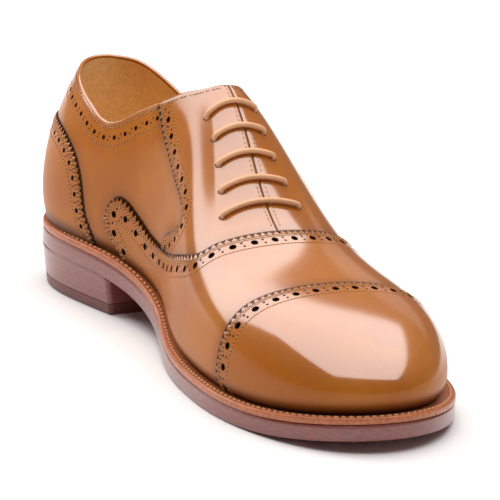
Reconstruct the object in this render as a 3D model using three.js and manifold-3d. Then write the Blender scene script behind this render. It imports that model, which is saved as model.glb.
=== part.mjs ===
// A left brogue shoe: calf upper on a welted leather sole, as separate pieces.
//
// Millimetres, Z up, floor at z = 0. The toe points along -Y, the inner side of the foot is
// at -X and the outer side at +X. A place on the shoe is given by s, its distance from the
// back of the last, by x and by z. The shares in SECTIONS and in the seam tables are chosen
// by hand and multiply the named sizes below.

import * as THREE from 'three';
import { mergeVertices } from 'three/addons/utils/BufferGeometryUtils.js';
import Module from 'manifold-3d';

const wasm = await Module();
wasm.setup();

// Last: the foot form that the upper is pulled over
const LAST_LENGTH = 296;
const BALL_WIDTH = 103.5;
const HEEL_WIDTH = 73.5;
const INSTEP_HEIGHT = 94;
const BULGE_HEIGHT = 18;
const FEATHER_TUCK = 4;
const HEEL_LEAN = 7;
const LEAN_REACH = 0.44 * LAST_LENGTH;
const HEEL_ROUND = 0.169 * LAST_LENGTH;
const TOE_ROUND = 0.297 * LAST_LENGTH;
const TOE_DROP = 0.287 * LAST_LENGTH;

// Bottom
const HEEL_HEIGHT = 18.5;
const TOE_SPRING = 5.5;
const SOLE_THICKNESS = 7.3;
const SOLE_EDGE_ROUND = 0.7;
const WELT_THICKNESS = 3;
const WELT_OVERHANG = 4.6;
const WELT_LEDGE = 6;
const INSOLE_THICKNESS = 3;
const TOP_PIECE = 5;
const HEEL_BREAST = 0.267 * LAST_LENGTH;
const HEEL_TAPER = 2.8;

// Upper
const UPPER_WALL = 1.8;
const FACING_THICKNESS = 0.9;
const COUNTER_THICKNESS = 0.9;
const VAMP_THICKNESS = 1.1;
const CAP_THICKNESS = 1.4;
const BACK_STRIP_THICKNESS = 0.9;
const BACK_STRIP_WIDTH = 13;
const BACK_STRIP_FOOT = 0.8 * BACK_STRIP_WIDTH;
const OUTER_COLLAR_DROP = 0.115;
const DROP_CENTRE = 0.2;
const DROP_REACH = 0.14;
const CLEARANCE = 0.3;

// Lacing
const SLIT_WIDTH = 1.6;
const SLIT_OFFSET = 2.6;
const SLIT_DEPTH = 0.37 * INSTEP_HEIGHT;
const SLIT_TOP = 0.392 * LAST_LENGTH;
const SLIT_END = 0.632 * LAST_LENGTH;
const EYELET_ROWS = 5;
const EYELET_FIRST = 0.4425 * LAST_LENGTH;
const EYELET_PITCH = 0.0348 * LAST_LENGTH;
const EYELET_REACH = 11;
const EYELET_SPREAD = 7;
const EYELET_RADIUS = 2.1;
const LACE_RADIUS = 1.2;
const LACE_BEND = 1.9;
const LACE_TRACK = 3.5;
const LACE_EASE = 0.3;
const TONGUE_THICKNESS = 2;
const TONGUE_WIDTH = 44;
const TONGUE_TOP = 0.402 * LAST_LENGTH;
const TONGUE_FRONT = 0.686 * LAST_LENGTH;

// Fineness of the meshes
const COLUMNS = 26;
const UPPER_ROWS = 8;
const SKIRT_ROWS = 2;
const EYELET_SIDES = 6;
const LACE_SIDES = 8;
const TONGUE_ROWS = 9;
const TONGUE_COLUMNS = 8;
const BAND_STEPS = 8;

// One row for each of 13 equal steps from the back of the heel to the toe.
// middle and ridge: x of the plan's middle and of the top line, shares of BALL_WIDTH.
// heel and ball: half width, shares of HEEL_WIDTH and of BALL_WIDTH, added together.
// top: height of the top line, share of INSTEP_HEIGHT. bulge: height of the widest line.
// tuck: how far the upper draws in below it. full: how square the section is.
// inner and outer: reach of the welt beyond the widest line on each side. lift and spring:
// height of the sole's underside.
const SECTIONS = [
  {
    middle: 0, ridge: -0.012, heel: 0.497, ball: 0, top: 0.84, bulge: 0.95,
    tuck: 0.65, full: -0.02, inner: -0.08, outer: -0.08, lift: 1.02, spring: 0,
  },
  {
    middle: 0, ridge: -0.03, heel: 0.514, ball: 0, top: 0.84, bulge: 0.95,
    tuck: 0.65, full: -0.02, inner: -0.08, outer: -0.08, lift: 0.99, spring: 0,
  },
  {
    middle: 0.001, ridge: -0.045, heel: 0.505, ball: 0, top: 0.88, bulge: 0.95,
    tuck: 0.7, full: -0.03, inner: -0.05, outer: -0.05, lift: 0.98, spring: 0,
  },
  {
    middle: 0.024, ridge: -0.04, heel: 0.46, ball: 0, top: 0.95, bulge: 0.97,
    tuck: 0.8, full: -0.03, inner: 0.1, outer: 0.14, lift: 0.96, spring: 0,
  },
  {
    middle: 0.054, ridge: -0.012, heel: 0.29, ball: 0.095, top: 1.01, bulge: 1,
    tuck: 0.95, full: -0.03, inner: 0.35, outer: 0.5, lift: 0.76, spring: 0,
  },
  {
    middle: 0.065, ridge: 0.002, heel: 0.115, ball: 0.235, top: 1.04, bulge: 0.94,
    tuck: 1, full: -0.02, inner: 0.43, outer: 0.8, lift: 0.38, spring: 0,
  },
  {
    middle: 0.038, ridge: -0.025, heel: 0, ball: 0.38, top: 0.875, bulge: 0.78,
    tuck: 1, full: -0.01, inner: 0.52, outer: 1, lift: 0.1, spring: 0,
  },
  {
    middle: 0.022, ridge: -0.06, heel: 0, ball: 0.442, top: 0.66, bulge: 0.61,
    tuck: 1, full: 0, inner: 0.61, outer: 1.12, lift: 0, spring: 0,
  },
  {
    middle: 0.014, ridge: -0.075, heel: 0, ball: 0.478, top: 0.535, bulge: 0.5,
    tuck: 1, full: 0.025, inner: 0.65, outer: 1.17, lift: 0, spring: 0,
  },
  {
    middle: 0.004, ridge: -0.056, heel: 0, ball: 0.49, top: 0.47, bulge: 0.47,
    tuck: 1, full: 0.05, inner: 0.7, outer: 1.22, lift: 0, spring: 0,
  },
  {
    middle: -0.006, ridge: -0.036, heel: 0, ball: 0.47, top: 0.43, bulge: 0.47,
    tuck: 1, full: 0.05, inner: 0.78, outer: 1.3, lift: 0, spring: 0,
  },
  {
    middle: -0.025, ridge: -0.028, heel: 0, ball: 0.438, top: 0.38, bulge: 0.5,
    tuck: 1, full: 0.04, inner: 0.93, outer: 1.33, lift: 0, spring: 0.35,
  },
  {
    middle: -0.038, ridge: -0.038, heel: 0, ball: 0.415, top: 0.3, bulge: 0.5,
    tuck: 1, full: 0, inner: 1.1, outer: 1.1, lift: 0, spring: 1,
  },
];

// Seam lines in side view. along: share of LAST_LENGTH. up: height above the welt, share
// of INSTEP_HEIGHT.
const COLLAR = [
  { along: -0.08, up: 0.712 }, { along: 0.02, up: 0.711 }, { along: 0.06, up: 0.7 },
  { along: 0.11, up: 0.67 }, { along: 0.16, up: 0.633 }, { along: 0.2, up: 0.596 },
  { along: 0.225, up: 0.592 }, { along: 0.25, up: 0.624 }, { along: 0.275, up: 0.685 },
  { along: 0.3, up: 0.745 }, { along: 0.335, up: 0.83 }, { along: 0.37, up: 0.92 },
  { along: 0.398, up: 0.98 }, { along: 0.412, up: 1.02 }, { along: 0.42, up: 1.08 },
];
const CAP_LINE = [
  { along: 0.757, up: -0.3 }, { along: 0.76, up: 0.08 }, { along: 0.764, up: 0.24 },
  { along: 0.772, up: 0.38 }, { along: 0.776, up: 0.46 }, { along: 0.776, up: 0.9 },
];
const VAMP_LINE = [
  { along: 0.64, up: 0.9 }, { along: 0.638, up: 0.62 }, { along: 0.633, up: 0.59 },
  { along: 0.616, up: 0.54 }, { along: 0.596, up: 0.48 }, { along: 0.54, up: 0.415 },
  { along: 0.472, up: 0.33 }, { along: 0.418, up: 0.275 }, { along: 0.376, up: 0.255 },
  { along: 0.345, up: 0.27 }, { along: 0.322, up: 0.29 }, { along: 0.303, up: 0.306 },
  { along: 0.284, up: 0.304 }, { along: 0.267, up: 0.262 }, { along: 0.257, up: 0.205 },
  { along: 0.255, up: 0.14 }, { along: 0.266, up: 0.08 }, { along: 0.282, up: 0.02 },
  { along: 0.3, up: -0.3 },
];
const FACING_LINE = [
  { along: 0.292, up: 1.1 }, { along: 0.311, up: 0.83 }, { along: 0.337, up: 0.755 },
  { along: 0.363, up: 0.695 }, { along: 0.392, up: 0.645 }, { along: 0.422, up: 0.608 },
  { along: 0.458, up: 0.585 }, { along: 0.482, up: 0.56 }, { along: 0.49, up: 0.525 },
  { along: 0.485, up: 0.48 }, { along: 0.463, up: 0.42 }, { along: 0.43, up: 0.345 },
  { along: 0.41, up: 0.2 },
];
const COUNTER_LINE = [
  { along: -0.1, up: 0.46 }, { along: 0, up: 0.47 }, { along: 0.07, up: 0.49 },
  { along: 0.12, up: 0.472 }, { along: 0.157, up: 0.425 }, { along: 0.179, up: 0.37 },
  { along: 0.194, up: 0.3 }, { along: 0.203, up: 0.22 }, { along: 0.211, up: 0.13 },
  { along: 0.222, up: 0.05 }, { along: 0.24, up: -0.3 },
];

const WELT_BOTTOM = SOLE_THICKNESS + CLEARANCE;
const WELT_TOP = WELT_BOTTOM + WELT_THICKNESS;
const FACING_TOP = CLEARANCE + FACING_THICKNESS;

// Smooth curve through the shares of one column, a uniform cubic B-spline that runs on past
// both ends of the table
function column(name, share) {
  const last = SECTIONS.length - 1;
  const at = share * last;
  const i = THREE.MathUtils.clamp(Math.floor(at), 0, last - 1);
  const f = at - i;
  const value = (k) => {
    if (k < 0) return 2 * SECTIONS[0][name] - SECTIONS[1][name];
    if (k > last) return 2 * SECTIONS[last][name] - SECTIONS[last - 1][name];
    return SECTIONS[k][name];
  };
  const weights = [
    (1 - f) ** 3,
    3 * f ** 3 - 6 * f ** 2 + 4,
    -3 * f ** 3 + 3 * f ** 2 + 3 * f + 1,
    f ** 3,
  ];
  return weights.reduce((sum, weight, k) => sum + weight * value(i - 1 + k), 0) / 6;
}

// 1 in the middle of the shoe, falling to 0 at its end like the side of a ball
function rounding(distance, reach) {
  const q = THREE.MathUtils.clamp(1 - distance / reach, 0, 1);
  return Math.sqrt(Math.max(0, 1 - q ** 3));
}

// tau runs once round the shoe: 0 to 1 up the inner side from heel to toe, 1 to 2 back
function fold(tau) {
  const turn = ((tau % 2) + 2) % 2;
  return turn <= 1 ? { u: turn, side: -1 } : { u: 2 - turn, side: 1 };
}

function station(tau) {
  return LAST_LENGTH * (1 - Math.cos(Math.PI * fold(tau).u)) / 2;
}

function halfWidth(s) {
  const share = s / LAST_LENGTH;
  const width = HEEL_WIDTH * column('heel', share) + BALL_WIDTH * column('ball', share);
  return width * rounding(s, HEEL_ROUND) * rounding(LAST_LENGTH - s, TOE_ROUND);
}

// The widest outline of the upper, seen from above: x and s
function plan(tau) {
  const s = station(tau);
  const middle = BALL_WIDTH * column('middle', s / LAST_LENGTH);
  return new THREE.Vector2(middle + fold(tau).side * halfWidth(s), s);
}

function planNormal(tau) {
  const step = 1e-4;
  const run = plan(tau + step).sub(plan(tau - step));
  return new THREE.Vector2(-run.y, run.x).normalize();
}

// Height of the sole's underside above the floor
function underside(s) {
  const share = s / LAST_LENGTH;
  return HEEL_HEIGHT * column('lift', share) + TOE_SPRING * column('spring', share);
}

// Height at which the upper stands, just clear of the welt
function footing(s) {
  return underside(s) + WELT_TOP + CLEARANCE;
}

// A point of the upper's outer surface as x, s, z. v runs from -1 at the welt through 0 at
// the widest line to 1 at the top line, and past 1 it goes down the other side.
function lastPoint(tau, v) {
  if (v > 1) return lastPoint(2 - tau, 2 - v);
  const s = station(tau);
  const share = s / LAST_LENGTH;
  const edge = plan(tau);
  const bulge = BULGE_HEIGHT * column('bulge', share);
  if (v < 0) {
    const tuck = FEATHER_TUCK * column('tuck', share) * v * v;
    edge.addScaledVector(planNormal(tau), -tuck);
    return new THREE.Vector3(edge.x, edge.y, footing(edge.y) + bulge * (1 + v));
  }
  const angle = v * Math.PI / 2;
  const full = column('full', share);
  const across = (1 + full) * Math.cos(angle) - full * Math.cos(3 * angle);
  const up = (1 + full) * Math.sin(angle) + full * Math.sin(3 * angle);
  const drop = rounding(LAST_LENGTH - s, TOE_DROP);
  const rise = (INSTEP_HEIGHT * column('top', share) - bulge) * drop * up;
  const middle = BALL_WIDTH * column('middle', share);
  const skew = (BALL_WIDTH * column('ridge', share) - middle) * (Math.sin(angle) * drop) ** 2;
  const x = middle + (edge.x - middle) * across + skew;
  const lean = HEEL_LEAN * (rise / (INSTEP_HEIGHT - 2 * BULGE_HEIGHT)) ** 2;
  const fade = Math.max(0, 1 - s / LEAN_REACH) ** 2;
  return new THREE.Vector3(x, s + lean * fade, footing(s) + bulge + rise);
}

function lastNormal(tau, v) {
  const step = 2e-3;
  const atToe = Math.abs(fold(tau).u - 1) < 1e-6;
  const height = Math.max(atToe ? Math.min(v, -step) : v, -1 + step);
  const round = lastPoint(tau + step, height).sub(lastPoint(tau - step, height));
  const rise = lastPoint(tau, height + step).sub(lastPoint(tau, height - step));
  const normal = rise.cross(round);
  return normal.length() > 1e-9 ? normal.normalize() : new THREE.Vector3(0, 0, 1);
}

// The same point moved outward, or inward where the offset is below 0. The bottom row moves
// level, so that its foot stays at the same height over the welt.
function offsetPoint(tau, v, offset) {
  const point = lastPoint(tau, v);
  const normal = lastNormal(tau, v);
  const s = point.y;
  if (v < 0) {
    normal.z *= 1 + v;
    normal.normalize();
  }
  point.addScaledVector(normal, offset);
  if (v < 0) point.z += footing(point.y) - footing(s);
  return point;
}

function toWorld(point) {
  return new THREE.Vector3(point.x, -point.y, point.z);
}

// Share of the way round at which the shoe is s long, on the inner or the outer side
function tauAt(s, side) {
  const u = Math.acos(THREE.MathUtils.clamp(1 - 2 * s / LAST_LENGTH, -1, 1)) / Math.PI;
  return side < 0 ? u : 2 - u;
}

// v at which the surface passes through x, between the widest line and the top line
function heightAt(tau, x) {
  const side = fold(tau).side;
  let low = 0;
  let high = 1;
  for (let i = 0; i < 30; i += 1) {
    const half = (low + high) / 2;
    if (side * (lastPoint(tau, half).x - x) > 0) low = half;
    else high = half;
  }
  return (low + high) / 2;
}

function topLineX(s) {
  return BALL_WIDTH * column('ridge', s / LAST_LENGTH);
}

// The facings meet a little to the outer side of the top line
function slitX(s) {
  return topLineX(s) + SLIT_OFFSET;
}

// Closed geometry from corners and triangles, turned so that its faces look outward
function closedGeometry(corners, triangles) {
  const geometry = new THREE.BufferGeometry();
  const flat = corners.flatMap((corner) => [corner.x, corner.y, corner.z]);
  geometry.setAttribute('position', new THREE.Float32BufferAttribute(flat, 3));
  geometry.setIndex(triangles.flat());
  const merged = mergeVertices(geometry, 1e-4);
  const index = merged.getIndex().array;
  const at = merged.getAttribute('position');
  const corner = (k) => new THREE.Vector3().fromBufferAttribute(at, index[k]);
  const kept = [];
  let volume = 0;
  for (let k = 0; k < index.length; k += 3) {
    const [a, b, c] = [index[k], index[k + 1], index[k + 2]];
    if (a !== b && b !== c && c !== a) {
      kept.push([a, b, c]);
      volume += corner(k).dot(corner(k + 1).cross(corner(k + 2)));
    }
  }
  merged.setIndex(kept.flatMap(([a, b, c]) => (volume < 0 ? [a, c, b] : [a, b, c])));
  return merged;
}

function toSolid(geometry) {
  return new wasm.Manifold(new wasm.Mesh({
    numProp: 3,
    vertProperties: new Float32Array(geometry.getAttribute('position').array),
    triVerts: new Uint32Array(geometry.getIndex().array),
  }));
}

function toGeometry(solid) {
  const mesh = solid.getMesh();
  const geometry = new THREE.BufferGeometry();
  geometry.setAttribute('position', new THREE.BufferAttribute(mesh.vertProperties, 3));
  geometry.setIndex(new THREE.BufferAttribute(mesh.triVerts, 1));
  return geometry;
}

// Loops of equal length joined side by side. ends: 'both' closes the first and last loop
// across the shoe, 'first' only the first, 'ring' joins the last loop to the first.
function loft(loops, ends) {
  const count = loops[0].length;
  const triangles = [];
  const quad = (a, b, c, d) => triangles.push([a, b, c], [a, c, d]);
  const bands = ends === 'ring' ? loops.length : loops.length - 1;
  for (let row = 0; row < bands; row += 1) {
    const low = row * count;
    const high = ((row + 1) % loops.length) * count;
    for (let i = 0; i < count; i += 1) {
      const next = (i + 1) % count;
      quad(low + i, low + next, high + next, high + i);
    }
  }
  const across = (start, upward) => {
    for (let i = 0; i < count / 2; i += 1) {
      const near = start + (count - i) % count;
      const far = start + count - i - 1;
      if (upward) quad(start + i, start + i + 1, far, near);
      else quad(near, far, start + i + 1, start + i);
    }
  };
  if (ends !== 'ring') across(0, false);
  if (ends === 'both') across((loops.length - 1) * count, true);
  return closedGeometry(loops.flat(), triangles);
}

function everyTau() {
  return Array.from({ length: 2 * COLUMNS }, (_, i) => i / COLUMNS);
}

// The whole last moved outward by an offset, closed underneath. With a drop it runs on down.
function lastForm(offset, drop) {
  const heights = [];
  for (let i = 0; i < SKIRT_ROWS; i += 1) heights.push(-1 + i / SKIRT_ROWS);
  for (let i = 0; i <= UPPER_ROWS; i += 1) heights.push(i / UPPER_ROWS);
  const loops = heights.map((v) => everyTau().map((tau) => toWorld(offsetPoint(tau, v, offset))));
  if (drop > 0) {
    loops.unshift(loops[0].map((point) => new THREE.Vector3(point.x, point.y, point.z - drop)));
  }
  return toSolid(loft(loops, 'first'));
}

// Wall between two forms of the last, open underneath
function shell(inner, outer) {
  return lastForm(outer, 0).subtract(lastForm(inner, BULGE_HEIGHT));
}

// A loop round the shoe: the plan moved outward, at a height that follows s
function planLoop(outward, height) {
  return everyTau().map((tau) => {
    const share = station(tau) / LAST_LENGTH;
    const point = plan(tau).addScaledVector(planNormal(tau), outward(share, fold(tau).side));
    return toWorld(new THREE.Vector3(point.x, point.y, height(point.y)));
  });
}

const weltEdge = (share, side) => WELT_OVERHANG * column(side < 0 ? 'inner' : 'outer', share);
const feather = (share) => -FEATHER_TUCK * column('tuck', share);

// A flat outline carried along the third axis. place puts a corner and a depth in space.
function prism(outline, place, from, to) {
  const contour = outline.map(([a, b]) => new THREE.Vector2(a, b));
  const faces = THREE.ShapeUtils.triangulateShape(contour, []);
  const count = contour.length;
  const corners = [from, to].flatMap((depth) => contour.map((p) => place(p.x, p.y, depth)));
  const turned = THREE.ShapeUtils.area(contour) < 0;
  const triangles = [];
  for (const [a, b, c] of faces) {
    triangles.push([a, b, c], [count + a, count + c, count + b]);
  }
  for (let i = 0; i < count; i += 1) {
    const j = (i + 1) % count;
    const wall = turned ? [[i, j, count + j], [i, count + j, count + i]]
      : [[i, count + j, j], [i, count + i, count + j]];
    triangles.push(...wall);
  }
  return toSolid(closedGeometry(corners, triangles));
}

const fromSide = (s, z, x) => new THREE.Vector3(x, -s, z);
const fromAbove = (x, s, z) => new THREE.Vector3(x, -s, z);
const fromBehind = (x, z, s) => new THREE.Vector3(x, -s, z);

// Smooth points along a seam table, as s and z
function seam(rows, steps = 3) {
  const points = rows.map(({ along, up }) => {
    const s = along * LAST_LENGTH;
    return new THREE.Vector3(s, footing(s) + up * INSTEP_HEIGHT, 0);
  });
  const curve = new THREE.CatmullRomCurve3(points, false, 'centripetal');
  return curve.getPoints(steps * (rows.length - 1)).map((p) => [p.x, p.y]);
}

const FAR = 2 * LAST_LENGTH;
const HALF_SPAN = BALL_WIDTH;

function moved(points, ds, dz) {
  return points.map(([s, z]) => [s + ds, z + dz]);
}

// Both sides of a region whose outline differs between the inner and the outer side
function region(outline) {
  const inner = prism(outline(-1), fromSide, -HALF_SPAN, 0);
  return inner.add(prism(outline(1), fromSide, 0, HALF_SPAN));
}

// The space that the foot goes in through: everything above the collar line
function aboveCollar() {
  return region((side) => {
    const dip = side > 0 ? OUTER_COLLAR_DROP : 0;
    const rows = COLLAR.map(({ along, up }) => {
      const low = Math.max(0, 1 - ((along - DROP_CENTRE) / DROP_REACH) ** 2);
      return { along, up: up - dip * low };
    });
    const line = seam(rows);
    const [front] = line.slice(-1);
    return [...line, [front[0], FAR], [line[0][0], FAR]];
  });
}

// The gap between the two facings, from the collar to the throat
function slit() {
  const left = [];
  const right = [];
  for (let i = 0; i <= BAND_STEPS; i += 1) {
    const s = THREE.MathUtils.lerp(SLIT_TOP, SLIT_END, i / BAND_STEPS);
    left.push([slitX(s) - SLIT_WIDTH / 2, s]);
    right.unshift([slitX(s) + SLIT_WIDTH / 2, s]);
  }
  return prism([...left, ...right], fromAbove, SLIT_DEPTH, FAR);
}

// x of an eyelet: rows run from 0 at the top, and stand wider apart toward the throat
function eyelet(row, side) {
  const s = EYELET_FIRST + row * EYELET_PITCH;
  const reach = EYELET_REACH + EYELET_SPREAD * (row / Math.max(1, EYELET_ROWS - 1)) ** 2;
  return { s, x: topLineX(s) + side * reach, side };
}

// A point over, or under, the place (x, s) of the surface
function surfacePoint(s, x, offset) {
  const side = x < topLineX(s) ? -1 : 1;
  const tau = tauAt(s, side);
  return offsetPoint(tau, heightAt(tau, x), offset);
}

function eyeletDrill(row, side) {
  const { s, x } = eyelet(row, side);
  const low = toWorld(surfacePoint(s, x, -UPPER_WALL - 2));
  const high = toWorld(surfacePoint(s, x, FACING_TOP + 2));
  const axis = high.clone().sub(low);
  const drill = new THREE.CylinderGeometry(
    EYELET_RADIUS, EYELET_RADIUS, axis.length(), EYELET_SIDES,
  );
  drill.applyQuaternion(
    new THREE.Quaternion().setFromUnitVectors(new THREE.Vector3(0, 1, 0), axis.clone().normalize()),
  );
  drill.translate(...low.add(high).multiplyScalar(0.5).toArray());
  drill.deleteAttribute('normal');
  drill.deleteAttribute('uv');
  return toSolid(mergeVertices(drill, 1e-4));
}

function withEyelets(solid, sides) {
  let drilled = solid;
  for (const side of sides) {
    for (let row = 0; row < EYELET_ROWS; row += 1) {
      drilled = drilled.subtract(eyeletDrill(row, side));
    }
  }
  return drilled;
}

const collarCut = aboveCollar();
const slitCut = slit();

// Quarters and lining: one hollow solid, open at the collar, along the slit and underneath
function upper() {
  const wall = shell(-UPPER_WALL, 0).subtract(collarCut).subtract(slitCut);
  return withEyelets(wall, [-1, 1]);
}

function aheadOfCap(gap) {
  const line = moved(seam(CAP_LINE), gap, 0);
  return region(() => [...line, [FAR, line.at(-1)[1]], [FAR, line[0][1]]]);
}

function toeCap() {
  return shell(CLEARANCE, CLEARANCE + CAP_THICKNESS).intersect(aheadOfCap(CLEARANCE / 2));
}

function vampRegion(grow) {
  const back = seam(VAMP_LINE).map(([s, z], i, all) => {
    const [before, after] = [all[Math.max(0, i - 1)], all[Math.min(all.length - 1, i + 1)]];
    const run = new THREE.Vector2(after[0] - before[0], after[1] - before[1]).normalize();
    return [s + run.y * grow, z - run.x * grow];
  });
  return region(() => [...back, [FAR, back.at(-1)[1]], [FAR, back[0][1]]]);
}

function vamp() {
  const cut = aheadOfCap(-CLEARANCE / 2);
  return shell(CLEARANCE, CLEARANCE + VAMP_THICKNESS).intersect(vampRegion(0)).subtract(cut);
}

// Everything on the other side of the slit's middle line, seen from above
function acrossSlit(side) {
  const line = [];
  for (let i = 0; i <= BAND_STEPS; i += 1) {
    const s = THREE.MathUtils.lerp(0, SLIT_END + EYELET_PITCH, i / BAND_STEPS);
    line.push([slitX(s) + side * CLEARANCE / 2, s]);
  }
  const away = -side * HALF_SPAN;
  return prism([...line, [away, line.at(-1)[1]], [away, line[0][1]]], fromAbove, 0, FAR);
}

function facing(side) {
  const line = seam(FACING_LINE);
  const front = SLIT_END + EYELET_PITCH;
  const outline = [...line, [front, line.at(-1)[1]], [front, line[0][1]]];
  const span = prism(outline, fromSide, -HALF_SPAN, HALF_SPAN);
  const band = shell(CLEARANCE, FACING_TOP).intersect(span).subtract(acrossSlit(side));
  const open = band.subtract(vampRegion(CLEARANCE)).subtract(collarCut).subtract(slitCut);
  return withEyelets(open, [side]);
}

function counter() {
  const line = seam(COUNTER_LINE);
  const back = -HALF_SPAN;
  const foot = line.at(-1)[1];
  const span = region(() => [...line, [back, foot], [back, line[0][1]]]);
  return shell(CLEARANCE, CLEARANCE + COUNTER_THICKNESS).intersect(span);
}

function backStrip() {
  const low = footing(0) + COUNTER_LINE[2].up * INSTEP_HEIGHT + CLEARANCE;
  const half = BACK_STRIP_WIDTH / 2;
  const foot = BACK_STRIP_FOOT / 2;
  const outline = [[-foot, low], [foot, low], [half, FAR], [-half, FAR]];
  const span = prism(outline, fromBehind, -HEEL_ROUND, HEEL_ROUND);
  const band = shell(CLEARANCE, CLEARANCE + BACK_STRIP_THICKNESS).intersect(span);
  return band.subtract(collarCut);
}

// Depth of the tongue below the surface: under the lace, then close under the vamp
const TONGUE_DEPTH = UPPER_WALL + 3 * CLEARANCE + LACE_BEND + LACE_RADIUS;

function tongue() {
  const rows = TONGUE_ROWS;
  const columns = TONGUE_COLUMNS;
  const point = (s, share, offset) => {
    const x = topLineX(s) + share * TONGUE_WIDTH / 2;
    const near = THREE.MathUtils.smoothstep(s, SLIT_END - EYELET_PITCH, SLIT_END + CLEARANCE);
    const depth = THREE.MathUtils.lerp(TONGUE_DEPTH, UPPER_WALL + 2 * CLEARANCE, near);
    return toWorld(surfacePoint(s, x, -depth - offset));
  };
  const corners = [];
  for (const offset of [TONGUE_THICKNESS, 0]) {
    for (let i = 0; i <= rows; i += 1) {
      for (let j = 0; j <= columns; j += 1) {
        const s = THREE.MathUtils.lerp(TONGUE_TOP, TONGUE_FRONT, i / rows);
        corners.push(point(s, 2 * j / columns - 1, offset));
      }
    }
  }
  const layer = (rows + 1) * (columns + 1);
  const at = (level, i, j) => level * layer + i * (columns + 1) + j;
  const triangles = [];
  const quad = (a, b, c, d) => triangles.push([a, b, c], [a, c, d]);
  for (let i = 0; i < rows; i += 1) {
    for (let j = 0; j < columns; j += 1) {
      quad(at(1, i, j), at(1, i + 1, j), at(1, i + 1, j + 1), at(1, i, j + 1));
      quad(at(0, i, j), at(0, i, j + 1), at(0, i + 1, j + 1), at(0, i + 1, j));
    }
    quad(at(0, i, 0), at(0, i + 1, 0), at(1, i + 1, 0), at(1, i, 0));
    quad(at(0, i, columns), at(1, i, columns), at(1, i + 1, columns), at(0, i + 1, columns));
  }
  for (let j = 0; j < columns; j += 1) {
    quad(at(0, 0, j), at(1, 0, j), at(1, 0, j + 1), at(0, 0, j + 1));
    quad(at(0, rows, j), at(0, rows, j + 1), at(1, rows, j + 1), at(1, rows, j));
  }
  return toSolid(closedGeometry(corners, triangles));
}

function welt() {
  const bottom = (s) => underside(s) + WELT_BOTTOM;
  const top = (s) => underside(s) + WELT_TOP;
  const inner = (share) => feather(share) - WELT_LEDGE;
  return toSolid(loft([
    planLoop(weltEdge, bottom),
    planLoop(weltEdge, (s) => top(s) - SOLE_EDGE_ROUND),
    planLoop((share, side) => weltEdge(share, side) - SOLE_EDGE_ROUND, top),
    planLoop(inner, top),
    planLoop(inner, bottom),
  ], 'ring'));
}

// A shaped board whose middle fills the space inside the welt
function insole() {
  const core = (share) => feather(share) - WELT_LEDGE - CLEARANCE;
  const edge = (share) => feather(share) - UPPER_WALL - CLEARANCE;
  return toSolid(loft([
    planLoop(core, (s) => underside(s) + WELT_BOTTOM),
    planLoop(core, footing),
    planLoop(edge, footing),
    planLoop(edge, (s) => footing(s) + INSOLE_THICKNESS),
  ], 'both'));
}

function outsole() {
  const drawnIn = (share, side) => weltEdge(share, side) - SOLE_EDGE_ROUND;
  const eased = (share, side) => weltEdge(share, side) - SOLE_EDGE_ROUND / 2;
  return toSolid(loft([
    planLoop(drawnIn, underside),
    planLoop(weltEdge, (s) => underside(s) + SOLE_EDGE_ROUND),
    planLoop(weltEdge, (s) => underside(s) + SOLE_THICKNESS - SOLE_EDGE_ROUND / 2),
    planLoop(eased, (s) => underside(s) + SOLE_THICKNESS),
  ], 'both'));
}

// The heel's full outline, drawn in toward the floor
function heelForm() {
  const tall = HEEL_HEIGHT + SOLE_THICKNESS;
  const slope = HEEL_TAPER / HEEL_HEIGHT;
  const inset = (amount) => (share, side) => weltEdge(share, side) - amount;
  const low = planLoop(inset(HEEL_TAPER), () => 0);
  const high = planLoop(inset(HEEL_TAPER - slope * tall), () => tall);
  return toSolid(loft([low, high], 'both'));
}

function heelSlice(bottom, top) {
  const back = -HEEL_ROUND;
  const outline = [[back, bottom], [HEEL_BREAST, bottom]];
  for (let i = 0; i <= BAND_STEPS; i += 1) {
    const s = HEEL_BREAST * (1 - i / BAND_STEPS);
    outline.push([s, top(s)]);
  }
  outline.push([back, top(0)]);
  return heelForm().intersect(prism(outline, fromSide, -HALF_SPAN, HALF_SPAN));
}

function heelStack() {
  return heelSlice(TOP_PIECE + CLEARANCE, (s) => underside(s) - CLEARANCE);
}

function topPiece() {
  return heelSlice(0, () => TOP_PIECE);
}

// A round cord with a ring of corners at each point of its path
function cord(path, radius) {
  const corners = [];
  const triangles = [];
  const tangent = (i) => {
    const [a, b] = [path[Math.max(0, i - 1)], path[Math.min(path.length - 1, i + 1)]];
    return b.clone().sub(a).normalize();
  };
  const side = new THREE.Vector3(0, 1, 0).cross(tangent(0)).normalize();
  path.forEach((point, i) => {
    const along = tangent(i);
    side.addScaledVector(along, -side.dot(along)).normalize();
    const other = along.clone().cross(side);
    for (let k = 0; k < LACE_SIDES; k += 1) {
      const angle = 2 * Math.PI * k / LACE_SIDES;
      const corner = point.clone().addScaledVector(side, radius * Math.cos(angle));
      corners.push(corner.addScaledVector(other, radius * Math.sin(angle)));
    }
  });
  const ring = (i, k) => i * LACE_SIDES + (k % LACE_SIDES);
  for (let i = 0; i + 1 < path.length; i += 1) {
    for (let k = 0; k < LACE_SIDES; k += 1) {
      triangles.push([ring(i, k), ring(i, k + 1), ring(i + 1, k + 1)]);
      triangles.push([ring(i, k), ring(i + 1, k + 1), ring(i + 1, k)]);
    }
  }
  const end = path.length - 1;
  for (let k = 1; k + 1 < LACE_SIDES; k += 1) {
    triangles.push([ring(0, 0), ring(0, k + 1), ring(0, k)]);
    triangles.push([ring(end, 0), ring(end, k), ring(end, k + 1)]);
  }
  return toSolid(closedGeometry(corners, triangles));
}

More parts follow.
